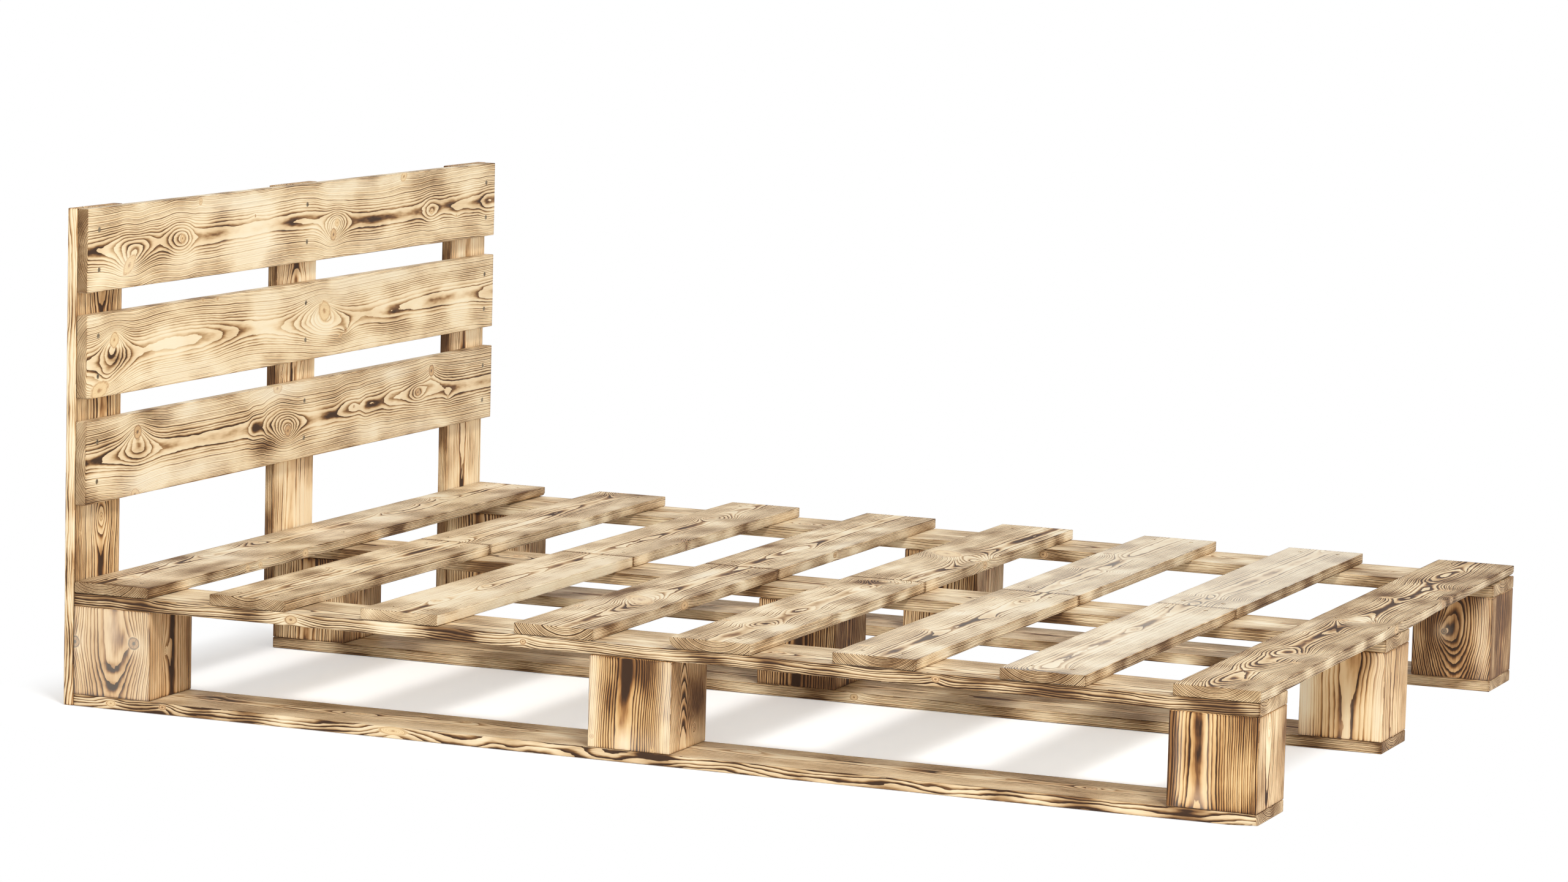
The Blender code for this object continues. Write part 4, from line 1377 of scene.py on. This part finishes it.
def add_knots(tree, timber, grain, knots_tree, phase):
    """Bend the rings round each knot. Gives also the knots' mask, tone and halo, or None."""
    spec = timber.spec
    rows = [(u0, v0, None, *rest) for u0, v0, *rest in spec["knots"]]
    rows += [(u0, None, w0, a, b, 0.0, *rest) for u0, w0, a, b, *rest in spec["side_knots"]]
    looks = None
    for u0, v0, w0, a, b, tilt, rings, dark in rows:
        node = tree.nodes.new("ShaderNodeGroup")
        node.node_tree = knots_tree
        plug(tree, node.inputs, (grain,))
        far_a = 1.0 / (graded(a, BEND_ALONG) * MM)
        far_b = 1.0 / (graded(b, BEND_ACROSS) * MM)
        if w0 is None:
            place = (u0 * MM - timber.start, v0 * MM - timber.width / 2, 0.0)
            body = (1 / (a * MM), 1 / (b * MM), 0.0)
            spread = (far_a, far_b, 0.0)
        else:
            place = (u0 * MM - timber.start, -timber.width / 2, w0 * MM - timber.thick / 2)
            body = (1 / (a * MM), SIDE_KNOT_BODY, 1 / (b * MM))
            spread = (far_a, SIDE_KNOT_SPREAD, far_b)
        for name, value in (
            ("Centre", place),
            ("Body", body),
            ("Spread", spread),
            ("Tilt", math.radians(-tilt)),
            ("Rings", rings),
            ("Dark", dark),
            ("Fine", KNOT_LINES * (a * b) ** 0.5),
        ):
            node.inputs[name].default_value = value
        bend, mask, tone, halo = (Value(tree, output) for output in node.outputs)
        phase = phase + bend
        one = (mask, mask * tone, halo)
        looks = [old.math("MAXIMUM", new) for old, new in zip(looks, one)] if looks else one
    return phase, looks


def ring_lines(tree, phase, rings_out, seed):
    """Draw the rings: dark soft early wood at the start of each, pale hard late wood at its end."""
    outer = (rings_out.math("ABSOLUTE") * CROWD_SLOPE).math("MINIMUM", 1.0)
    phase = phase + (noise_1d(tree, phase, CROWD_WAVES, seed) - 0.5) * outer * CROWD_RINGS
    turn = phase.math("FRACT")
    vary = noise_1d(tree, phase.math("FLOOR"), LINE_WAVES, seed + LINE_SHIFT)
    char = (turn.step(*LINE_FADE).one_minus() * turn.step(*LINE_START)) ** LINE_POWER
    return char, char * graded(vary, LINE_SHARE)


def wood_material(timber, knots_tree):
    """Make one piece's wood: a virtual log cut by the piece, torched in patches and brushed."""
    spec = timber.spec
    material = bpy.data.materials.new(timber.name + "_wood")
    material.use_nodes = True
    tree = material.node_tree
    shader = tree.nodes["Principled BSDF"]
    seed = spec["seed"] * SEED_STEP
    grain = attribute(tree, "log")
    burn_in, wash_in, face_in = split(tree, attribute(tree, "paint"))
    narrow = (face_in * -1.0).step(*NARROW_SIDE)
    phase, rings_out, wobble = ring_phase(tree, timber, grain, narrow, seed)
    phase, looks = add_knots(tree, timber, grain, knots_tree, phase)
    char, lined = ring_lines(tree, phase, rings_out, seed)
    lined = lined * float(spec["lines"])

    # Torch patches and fibres
    patch = grey_noise(tree, grain, PATCH_WAVES, (3.3, seed, seed), detail=3.0, rough=0.55)
    band = grey_noise(tree, grain, BAND_WAVES, (seed, 9.1, seed))
    fibre = grey_noise(tree, grain, FIBRE_WAVES, (seed, 0.0, 0.0), detail=2.0, rough=0.7)
    burn = burn_in + (patch - 0.5) * (PATCH_BURN * spec["patch"])
    burn = burn + (band - 0.5) * (BAND_BURN * spec["patch"])
    burn = burn.math("MAXIMUM", 0.0).math("MINIMUM", MOST_TORCHED)
    shade = lined * graded(burn, LINE_SHADE) + burn * BURN_SHADE
    shade = shade + (patch - 0.5) * PATCH_SHADE + BASE_SHADE
    shade = shade + (burn - 1.0).math("MAXIMUM", 0.0) * graded(char, CHARRED_SHADE)
    shade = shade + (fibre - 0.5) * graded(burn, FIBRE_SHADE)
    shade = shade + face_in.math("MAXIMUM", 0.0) * END_SHADE
    shade = shade * CONTRAST - CONTRAST_DROP
    shade = shade - (shade - DARK_KNEE).math("MAXIMUM", 0.0) * DARK_SQUEEZE
    if looks:
        mask, tone, halo = looks
        shade = shade * (halo * KNOT_HALO_PALE).one_minus()
        shade = shade * mask.one_minus() + mask * KNOT_SHADE

    # Colour
    colour = ramp(tree, shade, WARM_TONES if timber.kind in ("block", "post") else WOOD_TONES)
    if looks:
        knot_colour = ramp(tree, tone + burn * KNOT_BURN, KNOT_TONES)
        colour = mix_colour(tree, mask * KNOT_COVER, colour, knot_colour)
    if spec["warm"]:
        tanned = vector_op(tree, "MULTIPLY", colour, WARMER)
        colour = mix_colour(tree, narrow.one_minus() * spec["warm"], colour, tanned)
    # Whiten by the wash: pale weathered patches, and a painted sheen of grazing light
    colour = mix_colour(tree, wash_in, colour, (*WASH_AND_SHEEN, 1.0))
    plug(tree, [shader.inputs["Base Color"]], (colour,))
    plug(tree, [shader.inputs["Roughness"]], (shade.math("MULTIPLY_ADD", *WOOD_ROUGHNESS),))
    shader.inputs["Specular IOR Level"].default_value = WOOD_SPECULAR

    # Brushed relief: the soft early wood lies lower
    relief = lined * LINE_RELIEF + fibre * FIBRE_RELIEF + wobble * WOBBLE_RELIEF
    if looks:
        relief = relief + mask * KNOT_RELIEF
    add_bump(tree, shader, relief, *WOOD_BUMP)
    return material


def face_flags(timber, mesh):
    """Tell for each face corner whether its face is end grain or a narrow side."""
    count = len(mesh.polygons)
    flat = np.empty(count * 3)
    mesh.polygons.foreach_get("normal", flat)
    turned = np.abs(timber.own(flat.reshape(-1, 3)) - timber.own(np.zeros((1, 3))))
    totals = np.empty(count, dtype=np.int64)
    mesh.polygons.foreach_get("loop_total", totals)
    turned = np.repeat(turned, totals, axis=0)
    end = turned[:, 0] > np.maximum(turned[:, 1], turned[:, 2])
    side = ~end & (turned[:, 1] > turned[:, 2])
    return end, side


# Burns that the shape of a piece brings: how far from its edges and tips they reach, and how
# strong they are
EDGE_WEAR = 0.46
EDGE_WEAR_REACH = 0.0035
TIP_WEAR = 0.8
TIP_WEAR_REACH = 0.006
# The thin dark line along the edges and at the tips: partly char, partly painted shade of thin edge shadows
ARRIS_CHAR_AND_SHADE = 0.6
ARRIS_REACH = 0.0010
TIP_REACH = 0.0012
JOINT_BURN = 1.3
JOINT_REACH = 0.0020
TORCH_SPREAD = 1.2
TORCH_SPREAD_END = 0.6
PALE_SHARE = 0.9
PALE_WASH = 0.35
LEAST_BURN = -0.4
MOST_BURN = 1.9


def paint_board(timber, mesh):
    """Store where each corner lies in the log, how much it is burnt, how much it is whitened by weathering
    and by painted sheen, and whether it is end grain.
    """
    spec = timber.spec
    flat = np.empty(len(mesh.vertices) * 3)
    mesh.vertices.foreach_get("co", flat)
    picks = np.empty(len(mesh.loops), dtype=np.int64)
    mesh.loops.foreach_get("vertex_index", picks)
    own = timber.own(flat.reshape(-1, 3))[picks]
    end, side = face_flags(timber, mesh)
    half_v, half_w = timber.width / 2, timber.thick / 2
    u, v, w = own.T
    corner = np.maximum(half_v - np.abs(v), half_w - np.abs(w))
    tip = np.minimum(u, timber.length - u)
    wear = np.exp(-corner / EDGE_WEAR_REACH) + TIP_WEAR * np.exp(-tip / TIP_WEAR_REACH)
    wear = wear * swell(timber, WEAR_FIELD, u, v)
    if timber.kind == "block":
        u = np.where(side, u + SECOND_FACE, u)
        v, w = np.where(side, -w, v), np.where(side, v, w)
    place = (u + timber.start) / MM
    over = (v + half_v) / MM
    broad = ~end & ~side
    burn = np.where(side, spec["side_burn"], np.where(end, spec["end_burn"], spec["burn"]))
    torch = swell(timber, TORCH_FIELD, u, v + 3 * w) - 0.5
    burn = burn + torch * spec["patch"] * np.where(end, TORCH_SPREAD_END, TORCH_SPREAD)
    if timber.kind != "block":
        bars = swell(timber, BAR_FIELD, u, v + w) - 0.5
        burn = burn + side * bars * swell(timber, BAR_REACH_FIELD, u, v) * spec["bars"]
    if timber.name.startswith("slat") and timber.name.endswith(("near", "far")):
        gap = np.abs(timber.length - u) if timber.name.endswith("near") else np.abs(u)
        burn = burn + JOINT_BURN * np.exp(-gap / JOINT_REACH) * ~end
    # The whitened broad faces: pale weathering, and on slats 6 and 7 mostly a painted sheen of grazing
    # light
    wash = spec["wash"] * broad
    for sign, forms in ((1.0, spec["burns"]), (-PALE_SHARE, spec["pales"])):
        for u0, v0, reach_u, reach_v, amount in forms:
            away = ((place - u0) / reach_u) ** 2 + ((over - v0) / reach_v) ** 2
            blob = amount * np.exp(-away) * ~end
            burn = burn + sign * blob
            wash = wash + (PALE_WASH * blob * broad if sign < 0 else 0.0)
    # A thin dark line along the edges and at the tips: partly char, partly painted shade of thin edge
    # shadows
    arris_char_and_shade = np.exp(-corner / ARRIS_REACH) + np.exp(-tip / TIP_REACH)
    burn = burn + EDGE_WEAR * wear + ARRIS_CHAR_AND_SHADE * arris_char_and_shade * ~end
    log = mesh.attributes.new("log", "FLOAT_VECTOR", "CORNER")
    log.data.foreach_set("vector", np.stack([u, v, w], axis=1).astype(np.float32).ravel())
    # The paint holds the burn, with the edges' painted shade, then the wash, with its painted sheen, then
    # the face's kind
    paint = mesh.attributes.new("paint", "FLOAT_VECTOR", "CORNER")
    kind = end * 1.0 - side * 1.0
    rows = np.stack([np.clip(burn, LEAST_BURN, MOST_BURN), np.clip(wash, 0, 1), kind], axis=1)
    paint.data.foreach_set("vector", rows.astype(np.float32).ravel())


def steel_material():
    """Make the dulled plated steel of the screws."""
    material = bpy.data.materials.new("screw_steel_worn")
    material.use_nodes = True
    tree = material.node_tree
    shader = tree.nodes["Principled BSDF"]
    geometry = tree.nodes.new("ShaderNodeTexCoord")
    place = Value(tree, geometry.outputs["Object"])
    stain = grey_noise(tree, place, STAIN_WAVES, detail=3.0)
    scratch = grey_noise(tree, place, SCRATCH_WAVES, detail=2.0)
    colour = ramp(tree, stain, STEEL_TONES)
    plug(tree, [shader.inputs["Base Color"]], (colour,))
    plug(tree, [shader.inputs["Roughness"]], (graded(scratch, STEEL_ROUGHNESS),))
    shader.inputs["Metallic"].default_value = STEEL_METALLIC
    add_bump(tree, shader, scratch, *STEEL_BUMP)
    return material


# Pieces


def deck_spots(timber):
    """Where the screws go into a slat: two at each rail that its ends or its middle cross."""
    reaches = [DECK_SCREW_END, timber.length - DECK_SCREW_END]
    if timber.length > LONG_SLAT:
        reaches.append(timber.length / 2)
    height = timber.thick / 2 - SURFACE_DROP - DECK_HEAD_SINK
    random = np.random.default_rng(timber.spec["seed"] + DECK_SEED)
    spots = []
    for reach in reaches:
        for row in DECK_SCREW_ROWS:
            shift = random.uniform(-DECK_SCREW_WANDER, DECK_SCREW_WANDER, 2)
            across = row - timber.width / 2
            place = timber.world(np.array([reach + shift[0], across + shift[1], height]))
            spots.append((Vector(place), timber.axes[2], random.uniform(0.0, math.pi / 2)))
    return spots


def frame_spots():
    """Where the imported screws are: each node's name with its head's place, axis and size."""
    spots = {}
    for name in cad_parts:
        if not name.startswith(("board_screw", "post_screw")):
            continue
        low, high = (Vector(corner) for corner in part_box(name))
        middle = (low + high) / 2
        front = name.startswith("board_screw")
        head_y, axis = (low.y, (0, -1, 0)) if front else (high.y, (0, 1, 0))
        turn = (sum(map(ord, name)) % SCREW_TURNS) / SCREW_TURNS * math.pi / 2
        spot = (Vector((middle.x, head_y, middle.z)), axis, turn)
        spots[name] = (spot, (high.x - low.x) / 2, high.y - low.y)
    return spots


def finish_mesh(obj, material):
    """Give a piece its material and let only its sharp edges show."""
    obj.data.materials.clear()
    obj.data.materials.append(material)
    obj.data.polygons.foreach_set("use_smooth", [True] * len(obj.data.polygons))
    obj.data.set_sharp_from_angle(angle=SMOOTH_ANGLE)
    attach(obj, "root")


def build_pieces():
    """Rebuild every board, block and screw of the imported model."""
    steel = steel_material()
    knots_tree = knot_group()
    packed = frame_spots()
    deck_sizes = (DECK_HEAD_RADIUS, DECK_SHANK_RADIUS, DECK_HEAD_DEPTH, DECK_SCREW_LENGTH)
    for name, (spot, radius, length) in packed.items():
        screw = make_screws(name + "_steel", [spot], screw_sizes(radius, length))
        finish_mesh(screw, steel)
        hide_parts(name)
    for name in sorted(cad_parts):
        if name in packed:
            continue
        timber = Timber(name)
        board = add_object(name + "_wood", board_mesh(timber))
        low, high = (Vector(corner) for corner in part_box(name))
        for spot, radius, length in packed.values():
            inside = all(low[i] - MM < spot[0][i] < high[i] + MM for i in (0, 2))
            start, stop = sorted((spot[0].y, spot[0].y - spot[1][1] * length))
            if inside and start < high.y and stop > low.y:
                cut_holes(board, [spot], screw_sizes(radius, length))
        if timber.kind == "slat":
            spots = deck_spots(timber)
            cut_holes(board, spots, deck_sizes)
            screws = make_screws(name + "_screws", spots, deck_sizes)
            finish_mesh(screws, steel)
        paint_board(timber, board.data)
        finish_mesh(board, wood_material(timber, knots_tree))
        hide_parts(name)


# Studio

CAMERA_PLACE = (-7.71947, -3.09816, 1.42780)
CAMERA_YAW = -1.18195
CAMERA_PITCH = -0.12000
CAMERA_ROLL = 0.02675
CAMERA_LENS = 114.82
SENSOR_WIDTH = 36.0
CAMERA_REACH = 100.0

# How bright the surround lights the bed
AMBIENT = 0.45

# The floor: how much it glows by itself, and how far out from the base it has turned white. The
# base is taken as HALF_WIDTH by HALF_LENGTH, and as smaller at the foot end and the far side.
FLOOR_REACH = 30.0
FLOOR_DROP = 0.0005
FLOOR_COLOUR = (0.945, 0.965, 0.985, 1.0)
FLOOR_ROUGHNESS = 0.9
FLOOR_GLOW = 0.34
FLOOR_FADE = 0.20
HALF_WIDTH = 0.75
HALF_LENGTH = 1.0
FOOT_FADE = 0.82

LAMP_COLOUR = (1.0, 0.99, 0.97)
LAMP_TARGET = (0.0, 0.0, 0.3)
# Each lamp: its place, its size and its power
LAMPS = {
    "key": ((-5.8, -5.2, 8.8), (2.4, 2.0), 678.0),
    "side": ((-10.7, -2.3, 3.7), (4.5, 4.0), 236.0),
    "front": ((-2.3, -10.9, 3.2), (5.0, 4.0), 286.0),
}


def build_camera():
    """Stand the camera where the photograph was taken."""
    data = bpy.data.cameras.new("camera")
    data.lens = CAMERA_LENS
    data.sensor_width = SENSOR_WIDTH
    data.clip_end = CAMERA_REACH
    camera = bpy.data.objects.new("camera", data)
    bpy.context.scene.collection.objects.link(camera)
    flat = math.cos(CAMERA_PITCH)
    ahead = Vector(
        (flat * math.sin(-CAMERA_YAW), flat * math.cos(-CAMERA_YAW), math.sin(CAMERA_PITCH))
    )
    level = Vector((math.cos(-CAMERA_YAW), -math.sin(-CAMERA_YAW), 0.0))
    above = level.cross(ahead)
    right = math.cos(CAMERA_ROLL) * level + math.sin(CAMERA_ROLL) * above
    top = math.cos(CAMERA_ROLL) * above - math.sin(CAMERA_ROLL) * level
    turn = Matrix((right, top, -ahead)).transposed()
    camera.matrix_world = Matrix.Translation(CAMERA_PLACE) @ turn.to_4x4()
    bpy.context.scene.camera = camera


def add_softbox(name, place, size, power):
    """Hang one rectangular soft light that faces the bed."""
    data = bpy.data.lights.new(name, "AREA")
    data.shape = "RECTANGLE"
    data.size, data.size_y = size
    data.energy = power
    data.color = LAMP_COLOUR
    lamp = bpy.data.objects.new(name, data)
    bpy.context.scene.collection.objects.link(lamp)
    aim = Vector(LAMP_TARGET) - Vector(place)
    lamp.matrix_world = Matrix.Translation(place) @ aim.to_track_quat("-Z", "Y").to_matrix().to_4x4()


def seen_rays(tree):
    """Give 1 for what the camera, gloss and glass see, and 0 for the light on the bed."""
    path = tree.nodes.new("ShaderNodeLightPath")
    seen = Value(tree, path.outputs["Is Camera Ray"])
    for kind in ("Glossy", "Transmission"):
        seen = seen.math("MAXIMUM", Value(tree, path.outputs[f"Is {kind} Ray"]))
    return seen


def build_world():
    """A white surround for what the camera and gloss see, and a plain level for the rest."""
    world = bpy.data.worlds.new("studio")
    bpy.context.scene.world = world
    world.use_nodes = True
    tree = world.node_tree
    shader = tree.nodes["Background"]
    seen = seen_rays(tree)
    shader.inputs["Color"].default_value = (1.0, 1.0, 1.0, 1.0)
    plug(tree, [shader.inputs["Strength"]], (seen * (1.0 - AMBIENT) + AMBIENT,))


def build_floor():
    """A pale floor that keeps the shadows near the bed and turns into the white surround further out,
    painted white over the bed's shadow under its far half and foot end.
    """
    mesh = bpy.data.meshes.new("floor")
    corners = [(x * FLOOR_REACH, y * FLOOR_REACH, 0.0) for x, y in ((-1, -1), (1, -1), (1, 1), (-1, 1))]
    mesh.from_pydata(corners, [], [(0, 1, 2, 3)])
    floor = add_object("floor", mesh)
    floor.location.z = -FLOOR_DROP
    material = bpy.data.materials.new("floor")
    material.use_nodes = True
    tree = material.node_tree
    shader = tree.nodes["Principled BSDF"]
    shader.inputs["Base Color"].default_value = FLOOR_COLOUR
    shader.inputs["Roughness"].default_value = FLOOR_ROUGHNESS
    shader.inputs["Specular IOR Level"].default_value = 0.0
    place = Value(tree, tree.nodes.new("ShaderNodeTexCoord").outputs["Object"])
    east, north, _ = split(tree, place)
    away = (east.math("ABSOLUTE") - HALF_WIDTH).math("MAXIMUM", north.math("ABSOLUTE") - HALF_LENGTH)
    # Under the bed's far half and at its foot end the floor turns white too: painted light over the bed's
    # shadow
    away = away.math("MAXIMUM", east).math("MAXIMUM", north * -1.0 - FOOT_FADE)
    far = away.step(0.0, FLOOR_FADE)
    seen = seen_rays(tree)
    glow = tree.nodes.new("ShaderNodeEmission")
    plug(tree, [glow.inputs["Strength"]], (seen * FLOOR_GLOW,))
    lit = tree.nodes.new("ShaderNodeAddShader")
    tree.links.new(shader.outputs[0], lit.inputs[0])
    tree.links.new(glow.outputs[0], lit.inputs[1])
    white = tree.nodes.new("ShaderNodeEmission")
    blend = tree.nodes.new("ShaderNodeMixShader")
    plug(tree, [blend.inputs[0]], (seen * far,))
    tree.links.new(lit.outputs[0], blend.inputs[1])
    tree.links.new(white.outputs[0], blend.inputs[2])
    tree.links.new(blend.outputs[0], tree.nodes["Material Output"].inputs["Surface"])
    floor.data.materials.append(material)


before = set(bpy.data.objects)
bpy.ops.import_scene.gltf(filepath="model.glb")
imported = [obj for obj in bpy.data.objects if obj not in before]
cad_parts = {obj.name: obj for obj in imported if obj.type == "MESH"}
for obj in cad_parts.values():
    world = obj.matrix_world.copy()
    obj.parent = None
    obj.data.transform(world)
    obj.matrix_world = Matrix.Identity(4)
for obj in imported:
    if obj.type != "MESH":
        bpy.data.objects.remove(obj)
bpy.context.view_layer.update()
bpy.context.scene.view_settings.view_transform = "Standard"
build_camera()
build_pieces()
build_world()
build_floor()
for lamp_name, (lamp_place, lamp_size, lamp_power) in LAMPS.items():
    add_softbox(lamp_name, lamp_place, lamp_size, lamp_power)
